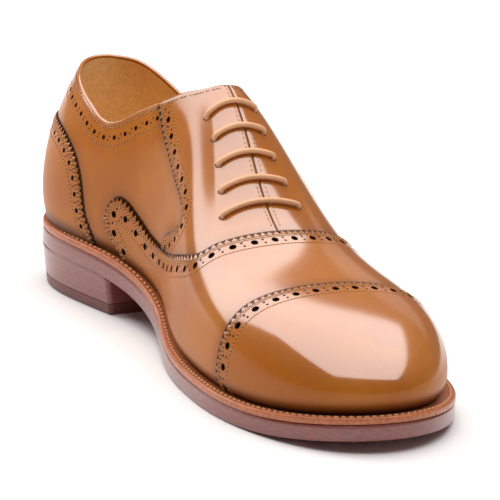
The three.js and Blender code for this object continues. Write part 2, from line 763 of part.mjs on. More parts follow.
// One bar of lace over the slit, from inside one eyelet to inside the other
function laceBar(row, from) {
  const over = FACING_TOP + CLEARANCE + LACE_BEND;
  const under = -UPPER_WALL - CLEARANCE;
  const [a, b] = [eyelet(row, from), eyelet(row, -from)];
  const bend = LACE_BEND;
  const leg = ({ s, x }, inward) => [
    surfacePoint(s, x, under),
    surfacePoint(s, x, over - bend),
    surfacePoint(s, x + inward * bend * LACE_EASE, over - bend * LACE_EASE),
    surfacePoint(s, x + inward * bend, over),
  ];
  const crossing = [];
  const steps = 4;
  for (let i = 1; i < steps; i += 1) {
    const x = THREE.MathUtils.lerp(a.x + b.side * bend, b.x + a.side * bend, i / steps);
    crossing.push(surfacePoint(a.s, x, over));
  }
  return [...leg(a, b.side), ...crossing, ...leg(b, a.side).reverse()];
}

// A hidden run under the facing between two eyelets of one side. track shifts it sideways.
function laceRun(side, fromRow, toRow, track) {
  const depth = -UPPER_WALL - CLEARANCE - LACE_BEND;
  const [a, b] = [eyelet(fromRow, side), eyelet(toRow, side)];
  const toward = Math.sign(b.s - a.s);
  const bend = LACE_BEND;
  const shift = side * track * LACE_TRACK;
  const place = (share, extra, offset) => {
    const s = THREE.MathUtils.lerp(a.s, b.s, share) + extra;
    const x = THREE.MathUtils.lerp(a.x, b.x, share) + shift * Math.sin(Math.PI * share);
    return surfacePoint(s, x, offset);
  };
  const turn = [
    place(0, toward * bend * LACE_EASE, depth + bend * LACE_EASE),
    place(0, toward * bend, depth),
  ];
  const back = [
    place(1, -toward * bend, depth),
    place(1, -toward * bend * LACE_EASE, depth + bend * LACE_EASE),
  ];
  const middle = track === 0 ? [] : [place(0.5, 0, depth)];
  return [...turn, ...middle, ...back];
}

// The lace as it is threaded: straight bars outside, its ends hidden at the top eyelets
function lace() {
  const depth = -UPPER_WALL - CLEARANCE - LACE_BEND;
  const last = EYELET_ROWS - 1;
  const top = eyelet(0, -1);
  const second = eyelet(1, -1);
  const inward = (share) => LACE_TRACK * Math.sin(Math.PI * share / 2);
  const hidden = [1, 0.6, 0.25].map((share) => surfacePoint(
    THREE.MathUtils.lerp(second.s, top.s, share),
    THREE.MathUtils.lerp(second.x, top.x, share) + inward(share),
    depth,
  ));
  const stub = [surfacePoint(second.s - LACE_BEND * 0.3, second.x, depth + LACE_BEND * 0.3)];
  const route = [
    ...hidden, ...stub,
    ...laceBar(1, -1),
    ...laceRun(1, 1, 3, -1),
    ...laceBar(3, 1),
    ...laceRun(-1, 3, last, 0),
    ...laceBar(last, -1),
    ...laceRun(1, last, 2, 1),
    ...laceBar(2, 1),
    ...laceRun(-1, 2, 0, 1),
    ...laceBar(0, -1),
  ];
  const end = eyelet(0, 1);
  route.push(surfacePoint(end.s, end.x, depth + LACE_BEND * 0.3));
  return cord(route.map(toWorld), LACE_RADIUS);
}

const TAN = { color: 0xb8712e, roughness: 0.28, metalness: 0 };
const LINING = { color: 0x9a7a44, roughness: 0.9, metalness: 0 };
const WELT_TAN = { color: 0xa8683a, roughness: 0.6, metalness: 0 };
const SOLE_BROWN = { color: 0x7a4a42, roughness: 0.4, metalness: 0 };
const RUBBER = { color: 0x2a2220, roughness: 0.7, metalness: 0 };
const LACE_TAN = { color: 0xc08a5c, roughness: 0.7, metalness: 0 };

const pieces = [
  ['upper', upper(), TAN],
  ['toe_cap', toeCap(), TAN],
  ['vamp', vamp(), TAN],
  ['facing_medial', facing(-1), TAN],
  ['facing_lateral', facing(1), TAN],
  ['counter', counter(), TAN],
  ['back_strip', backStrip(), TAN],
  ['tongue', tongue(), TAN],
  ['insole', insole(), LINING],
  ['welt', welt(), WELT_TAN],
  ['outsole', outsole(), SOLE_BROWN],
  ['heel_stack', heelStack(), SOLE_BROWN],
  ['top_piece', topPiece(), RUBBER],
  ['lace', lace(), LACE_TAN],
];

const shoe = new THREE.Group();
for (const [name, solid, finish] of pieces) {
  const mesh = new THREE.Mesh(toGeometry(solid), new THREE.MeshStandardMaterial(finish));
  mesh.name = name;
  shoe.add(mesh);
}

// The origin is the middle of the shoe's box, on the floor
const box = new THREE.Box3().setFromObject(shoe);
const middle = box.getCenter(new THREE.Vector3());
shoe.position.set(-middle.x, -middle.y, -box.min.z);

export default shoe;
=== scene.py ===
"""Looks of a left brogue shoe in tan calf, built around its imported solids.

Shapes are worked out in millimetres as x (outer side +), s (distance from the back of the
last) and z, and put into the row frame in metres by mesh(). The last, the welt and the seam
lines repeat the part's own named sizes and shares.
"""

import bpy
import numpy as np
from mathutils import Matrix, Vector


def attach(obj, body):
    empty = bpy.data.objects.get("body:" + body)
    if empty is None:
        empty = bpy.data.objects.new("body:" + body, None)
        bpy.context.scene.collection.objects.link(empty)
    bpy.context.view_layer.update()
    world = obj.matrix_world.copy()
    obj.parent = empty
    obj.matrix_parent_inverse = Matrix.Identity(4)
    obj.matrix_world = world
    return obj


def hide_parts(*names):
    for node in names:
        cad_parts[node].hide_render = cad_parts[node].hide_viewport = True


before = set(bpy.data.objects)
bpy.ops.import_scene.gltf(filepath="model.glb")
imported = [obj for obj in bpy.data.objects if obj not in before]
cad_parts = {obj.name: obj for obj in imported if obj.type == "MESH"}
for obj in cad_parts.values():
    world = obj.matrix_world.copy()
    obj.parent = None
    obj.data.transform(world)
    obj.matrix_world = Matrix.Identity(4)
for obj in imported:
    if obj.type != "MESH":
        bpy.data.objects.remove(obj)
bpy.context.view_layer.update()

# Sizes, mm
LAST_LENGTH = 296.0
BALL_WIDTH = 103.5
HEEL_WIDTH = 73.5
INSTEP_HEIGHT = 94.0
BULGE_HEIGHT = 18.0
FEATHER_TUCK = 4.0
HEEL_LEAN = 7.0
LEAN_REACH = 0.44 * LAST_LENGTH
HEEL_ROUND = 0.169 * LAST_LENGTH
TOE_ROUND = 0.297 * LAST_LENGTH
TOE_DROP = 0.287 * LAST_LENGTH
HEEL_HEIGHT = 18.5
TOE_SPRING = 5.5
SOLE_THICKNESS = 7.3
WELT_THICKNESS = 3.0
WELT_OVERHANG = 4.6
WELT_LEDGE = 6.0
INSOLE_THICKNESS = 3.0
TOP_PIECE = 5.0
HEEL_BREAST = 0.267 * LAST_LENGTH
HEEL_TAPER = 2.8
CLEARANCE = 0.3
UPPER_WALL = 1.8
SLIT_OFFSET = 2.6
SLIT_TOP = 0.392 * LAST_LENGTH
SLIT_END = 0.632 * LAST_LENGTH
EYELET_FIRST = 0.4425 * LAST_LENGTH
EYELET_PITCH = 0.0348 * LAST_LENGTH
EYELET_REACH = 11.0
EYELET_SPREAD = 7.0
LACE_RADIUS = 1.2
LACE_BEND = 1.9
LACE_TRACK = 3.5
TONGUE_WIDTH = 44.0
WELT_BOTTOM = SOLE_THICKNESS + CLEARANCE
WELT_TOP = WELT_BOTTOM + WELT_THICKNESS
MIDDLE_X = 1.828          # middle of the shoe's box in x and in s
MIDDLE_S = 149.93

TONGUE_START = 0.402      # shares of LAST_LENGTH
TONGUE_END = 0.686
TONGUE_THICKNESS = 2.0
STACK_BOTTOM = TOP_PIECE + 0.15
LARGE_HOLE = 1.6          # radius of each kind of hole
FACING_HOLE = 1.45
SMALL_HOLE = 1.15
STITCH_PITCH = 1.8
STITCH_SINK = 0.02
STITCH_LIMIT = 1.6        # nearest a stitch of the slit comes to the collar
FAR = 9.0                 # a distance at which no mark shows

# Height of each layer's top over the last
QUARTER_TOP = 0.0
COUNTER_TOP = 0.9
FACING_TOP = 0.9
VAMP_TOP = 1.6
CAP_TOP = 2.2

SECTIONS = {
    "middle": [0, 0, .001, .024, .054, .065, .038, .022, .014, .004, -.006, -.025, -.038],
    "ridge": [-.012, -.03, -.045, -.04, -.012, .002, -.025, -.06, -.075, -.056, -.036,
              -.028, -.038],
    "heel": [.497, .514, .505, .46, .29, .115, 0, 0, 0, 0, 0, 0, 0],
    "ball": [0, 0, 0, 0, .095, .235, .38, .442, .478, .49, .47, .438, .415],
    "top": [.84, .84, .88, .95, 1.01, 1.04, .875, .66, .535, .47, .43, .38, .3],
    "bulge": [.95, .95, .95, .97, 1, .94, .78, .61, .5, .47, .47, .5, .5],
    "tuck": [.65, .65, .7, .8, .95, 1, 1, 1, 1, 1, 1, 1, 1],
    "full": [-.02, -.02, -.03, -.03, -.03, -.02, -.01, 0, .025, .05, .05, .04, 0],
    "inner": [-.08, -.08, -.05, .1, .35, .43, .52, .61, .65, .7, .78, .93, 1.1],
    "outer": [-.08, -.08, -.05, .14, .5, .8, 1, 1.12, 1.17, 1.22, 1.3, 1.33, 1.1],
    "lift": [1.02, .99, .98, .96, .76, .38, .1, 0, 0, 0, 0, 0, 0],
    "spring": [0, 0, 0, 0, 0, 0, 0, 0, 0, 0, 0, .35, 1],
}

# Seam lines in side view: share of LAST_LENGTH, height over the welt as share of INSTEP_HEIGHT
COLLAR = [(-.08, .712), (.02, .711), (.06, .7), (.11, .67), (.16, .633), (.2, .596),
          (.225, .592), (.25, .624), (.275, .685), (.3, .745), (.335, .83), (.37, .92),
          (.398, .98), (.412, 1.02), (.42, 1.08)]
CAP_LINE = [(.757, -.3), (.76, .08), (.764, .24), (.772, .38), (.776, .46), (.776, .9)]
VAMP_LINE = [(.64, .9), (.638, .62), (.633, .59), (.616, .54), (.596, .48), (.54, .415),
             (.472, .33), (.418, .275), (.376, .255), (.345, .27), (.322, .29), (.303, .306),
             (.284, .304), (.267, .262), (.257, .205), (.255, .14), (.266, .08), (.282, .02),
             (.3, -.3)]
FACING_LINE = [(.292, 1.1), (.311, .83), (.337, .755), (.363, .695), (.392, .645),
               (.422, .608), (.458, .585), (.482, .56), (.49, .525), (.485, .48),
               (.463, .42), (.43, .345), (.41, .2)]
COUNTER_LINE = [(-.1, .46), (0, .47), (.07, .49), (.12, .472), (.157, .425), (.179, .37),
                (.194, .3), (.203, .22), (.211, .13), (.222, .05), (.24, -.3)]
COLLAR_DROP = .115


# The last
def column(name, share):
    """Uniform cubic B-spline through one row of SECTIONS, running on past both ends."""
    values = np.array(SECTIONS[name], float)
    last = len(values) - 1
    full = np.concatenate([[2 * values[0] - values[1]], values, [2 * values[-1] - values[-2]]])
    at = np.asarray(share, float) * last
    i = np.clip(np.floor(at).astype(int), 0, last - 1)
    f = at - i
    return ((1 - f) ** 3 * full[i] + (3 * f ** 3 - 6 * f ** 2 + 4) * full[i + 1]
            + (-3 * f ** 3 + 3 * f ** 2 + 3 * f + 1) * full[i + 2] + f ** 3 * full[i + 3]) / 6


def unit(vectors):
    """The same directions at length 1."""
    return vectors / np.maximum(np.linalg.norm(vectors, axis=-1, keepdims=True), 1e-12)


def rounding(distance, reach):
    """0 at an end of the shoe, rising to 1 as sqrt(1 - q^3), q being the share left to go."""
    q = np.clip(1 - distance / reach, 0, 1)
    return np.sqrt(np.maximum(0, 1 - q ** 3))


def fold(tau):
    """Share u from heel to toe and side (-1 inner, 1 outer) of a turn round the shoe."""
    turn = np.mod(tau, 2.0)
    return np.where(turn <= 1, turn, 2 - turn), np.where(turn <= 1, -1.0, 1.0)


def station(tau):
    """s at a turn: half the length times 1 - cos of the half circle."""
    return LAST_LENGTH * (1 - np.cos(np.pi * fold(tau)[0])) / 2


def plan(tau):
    """Widest outline seen from above, x and s: middle line plus or minus the half width."""
    s = station(tau)
    share = s / LAST_LENGTH
    width = HEEL_WIDTH * column("heel", share) + BALL_WIDTH * column("ball", share)
    width = width * rounding(s, HEEL_ROUND) * rounding(LAST_LENGTH - s, TOE_ROUND)
    return np.stack([BALL_WIDTH * column("middle", share) + fold(tau)[1] * width, s], -1)


def plan_normal(tau):
    """Level unit normal of the outline, pointing out: the run turned a quarter."""
    run = plan(tau + 1e-4) - plan(tau - 1e-4)
    return unit(np.stack([-run[..., 1], run[..., 0]], -1))


def underside(s):
    """Height of the sole's underside: heel lift and toe spring by their shares."""
    share = s / LAST_LENGTH
    return HEEL_HEIGHT * column("lift", share) + TOE_SPRING * column("spring", share)


def footing(s):
    """Height where the upper stands, just over the welt."""
    return underside(s) + WELT_TOP + CLEARANCE


def last_point(tau, v):
    """Point x, s, z of the last. Below the widest line (v < 0) the outline draws in with v
    squared; above it the section runs as (1 + a) cos t - a cos 3t across and
    (1 + a) sin t + a sin 3t up, t being v quarter turns, to the top line at v = 1."""
    tau, v = np.broadcast_arrays(np.asarray(tau, float), np.asarray(v, float))
    tau, v = np.where(v > 1, 2 - tau, tau), np.where(v > 1, 2 - v, v)
    s = station(tau)
    share = s / LAST_LENGTH
    edge, out = plan(tau), plan_normal(tau)
    bulge = BULGE_HEIGHT * column("bulge", share)
    tuck = FEATHER_TUCK * column("tuck", share) * v ** 2
    low = np.stack([edge[..., 0] - tuck * out[..., 0], edge[..., 1] - tuck * out[..., 1]], -1)
    low = np.stack([low[..., 0], low[..., 1], footing(low[..., 1]) + bulge * (1 + v)], -1)
    angle = np.clip(v, 0, 1) * np.pi / 2
    full = column("full", share)
    across = (1 + full) * np.cos(angle) - full * np.cos(3 * angle)
    up = (1 + full) * np.sin(angle) + full * np.sin(3 * angle)
    drop = rounding(LAST_LENGTH - s, TOE_DROP)
    rise = (INSTEP_HEIGHT * column("top", share) - bulge) * drop * up
    middle = BALL_WIDTH * column("middle", share)
    skew = (BALL_WIDTH * column("ridge", share) - middle) * (np.sin(angle) * drop) ** 2
    x = middle + (edge[..., 0] - middle) * across + skew
    lean = HEEL_LEAN * (rise / (INSTEP_HEIGHT - 2 * BULGE_HEIGHT)) ** 2
    lean = lean * np.maximum(0, 1 - s / LEAN_REACH) ** 2
    high = np.stack([x, s + lean, footing(s) + bulge + rise], -1)
    return np.where((v < 0)[..., None], low, high)


def last_normal(tau, v):
    """Unit normal of the last, out of the shoe: rise across round, by small steps."""
    tau, v = np.broadcast_arrays(np.asarray(tau, float), np.asarray(v, float))
    step = 2e-3
    at_toe = np.abs(fold(tau)[0] - 1) < 1e-6
    height = np.maximum(np.where(at_toe, np.minimum(v, -step), v), -1 + step)
    around = last_point(tau + step, height) - last_point(tau - step, height)
    rise = last_point(tau, height + step) - last_point(tau, height - step)
    normal = np.cross(rise, around)
    normal[..., 2] *= np.where(v < 0, 1 + v, 1)
    return unit(normal)


def lifted(points, normals, v, offset):
    """Points moved along their normals; below the widest line they keep to the footing, by
    the share -v."""
    offset = np.asarray(offset, float)
    moved = points + normals * (offset[..., None] if offset.ndim else offset)
    slip = footing(moved[..., 1]) - footing(points[..., 1])
    moved[..., 2] += np.clip(-np.asarray(v, float), 0, 1) * slip
    return moved


def to_skin(u, c):
    """Turn and height of a place on the skin: c runs from -2 at the inner welt through 0 at
    the top line to 2 at the outer welt, u from heel to toe."""
    c = np.asarray(c, float)
    return np.where(c <= 0, u, 2 - u), 1 - np.abs(c)


def skin(u, c):
    """Point and normal of the last at u, c."""
    tau, v = to_skin(np.asarray(u, float), c)
    return last_point(tau, v), last_normal(tau, v)


def top_line_x(s):
    """x of the top line."""
    return BALL_WIDTH * column("ridge", s / LAST_LENGTH)


def surface_point(s, x, offset):
    """Point over the place s, x of the last: the height is found by halving."""
    s, x, offset = np.broadcast_arrays(*[np.asarray(a, float) for a in (s, x, offset)])
    side = np.where(x < top_line_x(s), -1.0, 1.0)
    u = np.arccos(np.clip(1 - 2 * s / LAST_LENGTH, -1, 1)) / np.pi
    tau = np.where(side < 0, u, 2 - u)
    low, high = np.zeros_like(s), np.ones_like(s)
    for _ in range(30):
        half = (low + high) / 2
        beyond = side * (last_point(tau, half)[..., 0] - x) > 0
        low, high = np.where(beyond, half, low), np.where(beyond, high, half)
    v = (low + high) / 2
    return lifted(last_point(tau, v), last_normal(tau, v), v, offset)


# The skin as one grid
ROWS = 562
ACROSS = 321
grid_u, grid_c = np.meshgrid(np.linspace(0, 1, ROWS), np.linspace(-2, 2, ACROSS), indexing="ij")
SKIN, SKIN_NORMAL = skin(grid_u, grid_c)
SKIN = SKIN.reshape(-1, 3)
SKIN_NORMAL = SKIN_NORMAL.reshape(-1, 3)
SKIN_V = (1 - np.abs(grid_c)).ravel()


def grid_triangles(down=1, side=1):
    """Two triangles for each cell of the skin, or for each block of down by side cells. The
    back seam and the toe's end are sewn together."""
    label = np.arange(ROWS * ACROSS).reshape(ROWS, ACROSS)
    mirrored = np.minimum(np.arange(ACROSS), ACROSS - 1 - np.arange(ACROSS))
    label[0] = label[0][mirrored]
    label[-1] = label[-1][mirrored]
    flat = np.abs(grid_c[-1]) <= 1
    label[-1][flat] = label[-1][ACROSS // 2]
    label = label[::down, ::side]
    a, b, c, d = label[:-1, :-1], label[1:, :-1], label[1:, 1:], label[:-1, 1:]
    faces = np.concatenate([np.stack([a, b, c], -1).reshape(-1, 3),
                            np.stack([a, c, d], -1).reshape(-1, 3)])
    good = ((faces[:, 0] != faces[:, 1]) & (faces[:, 1] != faces[:, 2])
            & (faces[:, 2] != faces[:, 0]))
    return faces[good]


TRIANGLES = grid_triangles()
COARSE = np.arange(ROWS * ACROSS).reshape(ROWS, ACROSS)[::2, ::2].ravel()


def nearest(points, targets):
    """Index of the target nearest to each point, in blocks."""
    found = np.empty(len(points), int)
    middle = targets.mean(0)
    near = (targets - middle).astype(np.float32)
    square = (near ** 2).sum(1)
    block = max(1, int(2e7 / len(targets)))
    for start in range(0, len(points), block):
        part = (points[start:start + block] - middle).astype(np.float32)
        found[start:start + block] = np.argmin(square - 2 * part @ near.T, axis=1)
    return found


def laid(points):
    """Points drawn onto the skin: moved along the normal of the nearest of every fourth
    grid corner, twice."""
    for _ in range(2):
        at = COARSE[nearest(points, SKIN[COARSE])]
        normal = SKIN_NORMAL[at]
        points = points - ((points - SKIN[at]) * normal).sum(1)[:, None] * normal
    return points, SKIN_NORMAL[at], SKIN_V[at]


def run_of(path):
    """Length along a path up to each of its points."""
    return np.concatenate([[0], np.cumsum(np.linalg.norm(np.diff(path, axis=0), axis=1))])


def at_run(run, path, at):
    """Points of a path at given lengths along it, on the straight between its points."""
    return np.stack([np.interp(at, run, path[:, k]) for k in range(path.shape[1])], -1)


def evenly(points, spacing, closed=False):
    """The same path with equal steps along its length."""
    if closed:
        points = np.concatenate([points, points[:1]])
    run = run_of(points)
    count = max(2, int(round(run[-1] / spacing)) + 1)
    return at_run(run, points, np.linspace(0, run[-1], count))


# Seams
def flowing(points, steps):
    """Centripetal Catmull-Rom curve through points of a plane or of space: between two
    points a cubic in t, whose slopes come from the gaps' square roots."""
    p = np.concatenate([[2 * points[0] - points[1]], points, [2 * points[-1] - points[-2]]])
    gap = np.maximum(np.linalg.norm(np.diff(p, axis=0), axis=1), 1e-3)[:, None] ** 0.5
    p0, p1, p2, p3 = p[:-3], p[1:-2], p[2:-1], p[3:]
    d0, d1, d2 = gap[:-2], gap[1:-1], gap[2:]
    m1 = ((p1 - p0) / d0 - (p2 - p0) / (d0 + d1) + (p2 - p1) / d1) * d1
    m2 = ((p2 - p1) / d1 - (p3 - p1) / (d1 + d2) + (p3 - p2) / d2) * d1
    t = np.linspace(0, 1, steps, endpoint=False)[None, :, None]
    a, b, c, d = p1[:, None], p2[:, None], m1[:, None], m2[:, None]
    curve = ((2 * a - 2 * b + c + d) * t ** 3 + (-3 * a + 3 * b - 2 * c - d) * t ** 2
             + c * t + a)
    return np.concatenate([curve.reshape(-1, points.shape[1]), points[-1:]])


def smooth_line(rows):
    """The flowing curve through rows of (share of length, share of height), as s and z."""
    share, height = np.array(rows, float).T
    s = share * LAST_LENGTH
    return flowing(np.stack([s, footing(s) + height * INSTEP_HEIGHT], -1), 60)


def on_side(line, side):
    """Places u, v of one side of the last seen at s, z: v by halving, u by small repairs.
    Points over the top line or behind the back are dropped."""
    s, z = line[:, 0], line[:, 1]
    u = np.arccos(np.clip(1 - 2 * s / LAST_LENGTH, -1, 1)) / np.pi
    v = np.zeros_like(u)
    for _ in range(12):
        tau = u if side < 0 else 2 - u
        low, high = np.full_like(u, -1.0), np.ones_like(u)
        for _ in range(26):
            half = (low + high) / 2
            under = last_point(tau, half)[:, 2] < z
            low, high = np.where(under, half, low), np.where(under, high, half)
        v = (low + high) / 2
        wrong = s - last_point(tau, v)[:, 1]
        aim = np.clip(station(u) + wrong, 0, LAST_LENGTH)
        u = np.arccos(1 - 2 * aim / LAST_LENGTH) / np.pi
    tau = u if side < 0 else 2 - u
    p = last_point(tau, v)
    good = (np.abs(p[:, 1] - s) < 0.05) & (np.abs(p[:, 2] - z) < 0.05) & (v > -0.9999)
    return u[good], v[good]


class Seam:
    """A seam over both sides of the shoe as an even path on the skin, with its run, and the
    way in: a unit vector along the skin, square to the seam."""

    def __init__(self, rows_inner, rows_outer, closed=False):
        sides = []
        for side, rows in ((-1, rows_inner), (1, rows_outer)):
            u, v = on_side(smooth_line(rows), side)
            sides.append(np.stack([u, side * (1 - v)], -1))
        inner, outer = sides
        if abs(inner[0, 1]) > abs(inner[-1, 1]):
            inner, outer = inner[::-1], outer[::-1]
        places = np.concatenate([inner[::-1], outer])
        points = evenly(skin(places[:, 0], places[:, 1])[0], 1.0, closed)
        if closed:
            points = points[:-1]
        points, normal, _ = laid(points)
        ahead, behind = np.roll(points, -1, 0), np.roll(points, 1, 0)
        if not closed:
            ahead[-1], behind[0] = points[-1], points[0]
        self.points, self.normal, self.closed = points, normal, closed
        self.along = unit(ahead - behind)
        self.inward = unit(np.cross(normal, self.along))
        self.run = run_of(points)

    def measure(self, places):
        """Run along the seam and signed distance inward from it, by the nearest piece."""
        at = nearest(places, self.points)
        gap = places - self.points[at]
        along = (gap * self.along[at]).sum(1)
        rest = gap - along[:, None] * self.along[at]
        side = np.sign((rest * self.inward[at]).sum(1))
        return self.run[at] + along, side * np.linalg.norm(rest, axis=1)

    def beside(self, distance, spacing, phase=0.0):
        """Even places at a distance inward from the seam, drawn onto the skin. Where the
        seam turns tightly the path folds over itself: the part nearer than that is left."""
        path, _, _ = laid(self.points + distance * self.inward)
        path = path[np.abs(self.measure(path)[1]) > 0.9 * abs(distance)]
        if self.closed:
            path = np.concatenate([path, path[:1]])
        run = run_of(path)
        at = np.arange(phase * spacing, run[-1], spacing)
        along = unit(at_run(run, path, at + 0.5) - at_run(run, path, at - 0.5))
        places, normal, _ = laid(at_run(run, path, at))
        return places, normal, along


def dipped(rows):
    """The collar's outer side, lower under the ankle bone."""
    return [(a, u - COLLAR_DROP * max(0, 1 - ((a - .2) / .14) ** 2)) for a, u in rows]


cap_seam = Seam(CAP_LINE, CAP_LINE)
vamp_seam = Seam(VAMP_LINE, VAMP_LINE)
collar_seam = Seam(COLLAR, dipped(COLLAR), closed=True)
counter_seam = Seam(COUNTER_LINE, COUNTER_LINE)
facing_seam = Seam(FACING_LINE, FACING_LINE)


# Meshes
def mesh(name, points, faces, material, slot, nodes=(), outward=None, flat=False, marks=None):
    """Makes a piece from corners in mm and lists of 3- or 4-cornered faces. Faces are turned
    to look outward: along given corner normals, or so that the enclosed volume is positive."""
    row = np.stack([points[:, 0] - MIDDLE_X, MIDDLE_S - points[:, 1], points[:, 2]], -1) / 1000
    groups = [f for f in (faces if isinstance(faces, list) else [faces]) if len(f)]
    score = 0.0
    for f in groups:
        a, b, c = row[f[:, 0]], row[f[:, 1]], row[f[:, 2]]
        turn = np.cross(b - a, c - a)
        if outward is None:
            score += (a * turn).sum()
            if f.shape[1] == 4:
                score += (a * np.cross(c - a, row[f[:, 3]] - a)).sum()
        else:
            n = outward[f[:, 0]] * [1, -1, 1]
            score += (turn * n).sum()
    if score < 0:
        groups = [f[:, ::-1] for f in groups]
    data = bpy.data.meshes.new(name)
    sizes = np.concatenate([np.full(len(f), f.shape[1]) for f in groups]).astype(np.int32)
    corners = np.concatenate([f.ravel() for f in groups]).astype(np.int32)
    data.vertices.add(len(row))
    data.vertices.foreach_set("co", row.astype(np.float32).ravel())
    data.loops.add(len(corners))
    data.loops.foreach_set("vertex_index", corners)
    data.polygons.add(len(sizes))
    starts = np.concatenate([[0], np.cumsum(sizes)[:-1]]).astype(np.int32)
    data.polygons.foreach_set("loop_start", starts)
    data.polygons.foreach_set("use_smooth", np.full(len(sizes), not flat))
    data.update(calc_edges=True)
    data.validate()
    for key, values in (marks or {}).items():
        layer = data.attributes.new(key, "FLOAT", "POINT")
        layer.data.foreach_set("value", np.asarray(values, np.float32))
    data.materials.append(material)
    piece = bpy.data.objects.new(name, data)
    bpy.context.scene.collection.objects.link(piece)
    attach(piece, "root")
    if nodes:
        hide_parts(*nodes)
    return piece


def clip(triangles, inside):
    """Keeps the part of each triangle where inside is positive. Returns the faces, the edges
    that were cut as (corner a, corner b, share from a to b) of the new corners, which follow
    the old ones, and the border as pairs of new corners."""
    good = inside > 0
    count = good[triangles].sum(1)
    whole = triangles[count == 3]
    one, two = triangles[count == 1], triangles[count == 2]

    def turned(part, odd):
        """The same triangles, started at the corner that is alone on its side."""
        first = np.argmax(good[part] == odd, axis=1)[:, None]
        return np.take_along_axis(part, (first + np.arange(3)) % 3, axis=1)

    one, two = turned(one, True), turned(two, False)
    both = np.concatenate([one, two])
    edges = np.concatenate([both[:, [0, 1]], both[:, [0, 2]]])
    key = np.sort(edges, axis=1)
    unique, back = np.unique(key, axis=0, return_inverse=True)
    back = back.ravel()
    new = len(inside) + back
    n = len(both)
    op, oq = new[:n], new[n:]
    k = len(one)
    faces = np.concatenate([
        whole,
        np.stack([one[:, 0], op[:k], oq[:k]], -1),
        np.stack([op[k:], two[:, 1], two[:, 2]], -1),
        np.stack([op[k:], two[:, 2], oq[k:]], -1),
    ])
    border = np.concatenate([np.stack([op[:k], oq[:k]], -1), np.stack([oq[k:], op[k:]], -1)])
    fa, fb = inside[unique[:, 0]], inside[unique[:, 1]]
    share = np.clip(fa / (fa - fb), 0.001, 0.999)
    return faces, (unique[:, 0], unique[:, 1], share), border


def panel(name, inside, top, base, material, nodes=(), edge=None, gap=None, soft=None,
          ease=0.8, dip=0.3):
    """A layer of calf: the skin where inside is positive, lifted to top, eased down within
    the last stretch before its sewn edge (soft) as the square of the share left, with a wall
    to base. edge and gap are how far the nearest seam and the next layer's edge are."""
    near = inside[TRIANGLES].max(1) > 0
    faces, (a, b, t), border = clip(TRIANGLES[near], inside)
    t1 = t[:, None]
    points = np.concatenate([SKIN, SKIN[a] * (1 - t1) + SKIN[b] * t1])
    normal = np.concatenate([SKIN_NORMAL, SKIN_NORMAL[a] * (1 - t1) + SKIN_NORMAL[b] * t1])
    normal = unit(normal)
    v = np.concatenate([SKIN_V, SKIN_V[a] * (1 - t) + SKIN_V[b] * t])

    def carried(field):
        """A field of the skin with its values at the new corners, by their share."""
        return np.concatenate([field, field[a] * (1 - t) + field[b] * t])

    depth = carried(inside if soft is None else soft)
    mark = carried(inside if edge is None else edge)
    under = carried(np.full(len(inside), FAR) if gap is None else gap)
    left = 1 - np.clip(depth / ease, 0, 1)
    height = top - dip * left ** 2
    used, faces = np.unique(faces, return_inverse=True)
    faces = faces.reshape(-1, 3)
    place = np.full(len(points), -1)
    place[used] = np.arange(len(used))
    upper = lifted(points[used], normal[used], v[used], height[used])
    ring, walls = np.unique(border, return_inverse=True)
    walls = walls.reshape(-1, 2)
    high = lifted(points[ring], normal[ring], v[ring], height[ring])
    low = lifted(points[ring], normal[ring], v[ring], np.full(len(ring), base))
    start, count = len(used), len(ring)
    p, q = start + walls[:, 0], start + walls[:, 1]
    wall = np.stack([q, p, p + count, q + count], -1)
    corners = np.concatenate([upper, high, low])
    outward = np.concatenate([normal[used], normal[ring] * 0, normal[ring] * 0])
    raw = np.concatenate([np.zeros(len(used)), np.ones(2 * count)])
    # edge drives the burnish beside the seams; gap and low drive the painted shade beside the
    # next layer's edge and by the welt
    marks = {"edge": np.concatenate([mark[used], np.zeros(2 * count)]), "raw": raw,
             "gap": np.concatenate([under[used], np.full(2 * count, FAR)]),
             "low": corners[:, 2] - footing(corners[:, 1])}
    return mesh(name, corners, [faces, wall], material, "calf", nodes, outward, marks=marks)


def banded(loops, ring=False):
    """Closed loops of equal length joined side by side into four-cornered faces. In a ring
    the last one joins the first."""
    n = len(loops[0])
    label = np.arange(len(loops) * n).reshape(len(loops), n)
    low = label if ring else label[:-1]
    high = np.roll(label, -1, 0) if ring else label[1:]
    quads = np.stack([low, np.roll(low, -1, 1), np.roll(high, -1, 1), high], -1)
    return np.concatenate(loops), [quads.reshape(-1, 4)]


def tube(path, radius, sides, closed=False):
    """A round section carried along a path: the path's point plus radius times cos t of the
    side and sin t of the other side. Each frame is the one before, squared to the new
    direction, so that it turns as little as it can."""
    along = unit(np.roll(path, -1, 0) - np.roll(path, 1, 0) if closed
                 else np.gradient(path, axis=0))
    side = np.zeros_like(path)
    side[0] = unit(np.cross([0, 1.0, 0.01], along[0]))
    for i in range(1, len(path)):
        side[i] = unit(side[i - 1] - along[i] * (side[i - 1] @ along[i]))
    other = np.cross(along, side)
    angle = np.arange(sides) * 2 * np.pi / sides
    points, faces = banded(
        path[:, None] + radius * (np.cos(angle)[None, :, None] * side[:, None]
                                  + np.sin(angle)[None, :, None] * other[:, None]), closed)
    if not closed:
        top = len(points)
        points = np.concatenate([points, path[:1], path[-1:]])
        first = np.arange(sides)
        last = first + top - sides
        faces.append(np.concatenate([
            np.stack([np.roll(first, -1), first, np.full(sides, top)], -1),
            np.stack([last, np.roll(last, -1), np.full(sides, top + 1)], -1)]))
    return points, faces


def spots(places, normal, along, template, faces):
    """One small form set at each place, on its own frame along, across and out."""
    across = unit(np.cross(normal, along))
    along = np.cross(across, normal)
    frames = np.stack([along, across, normal], 1)
    points = places[:, None] + np.einsum("mk,nkd->nmd", template, frames)
    shift = np.arange(len(places))[:, None, None] * len(template)
    return points.reshape(-1, 3), [(f[None] + shift).reshape(-1, f.shape[1]) for f in faces]


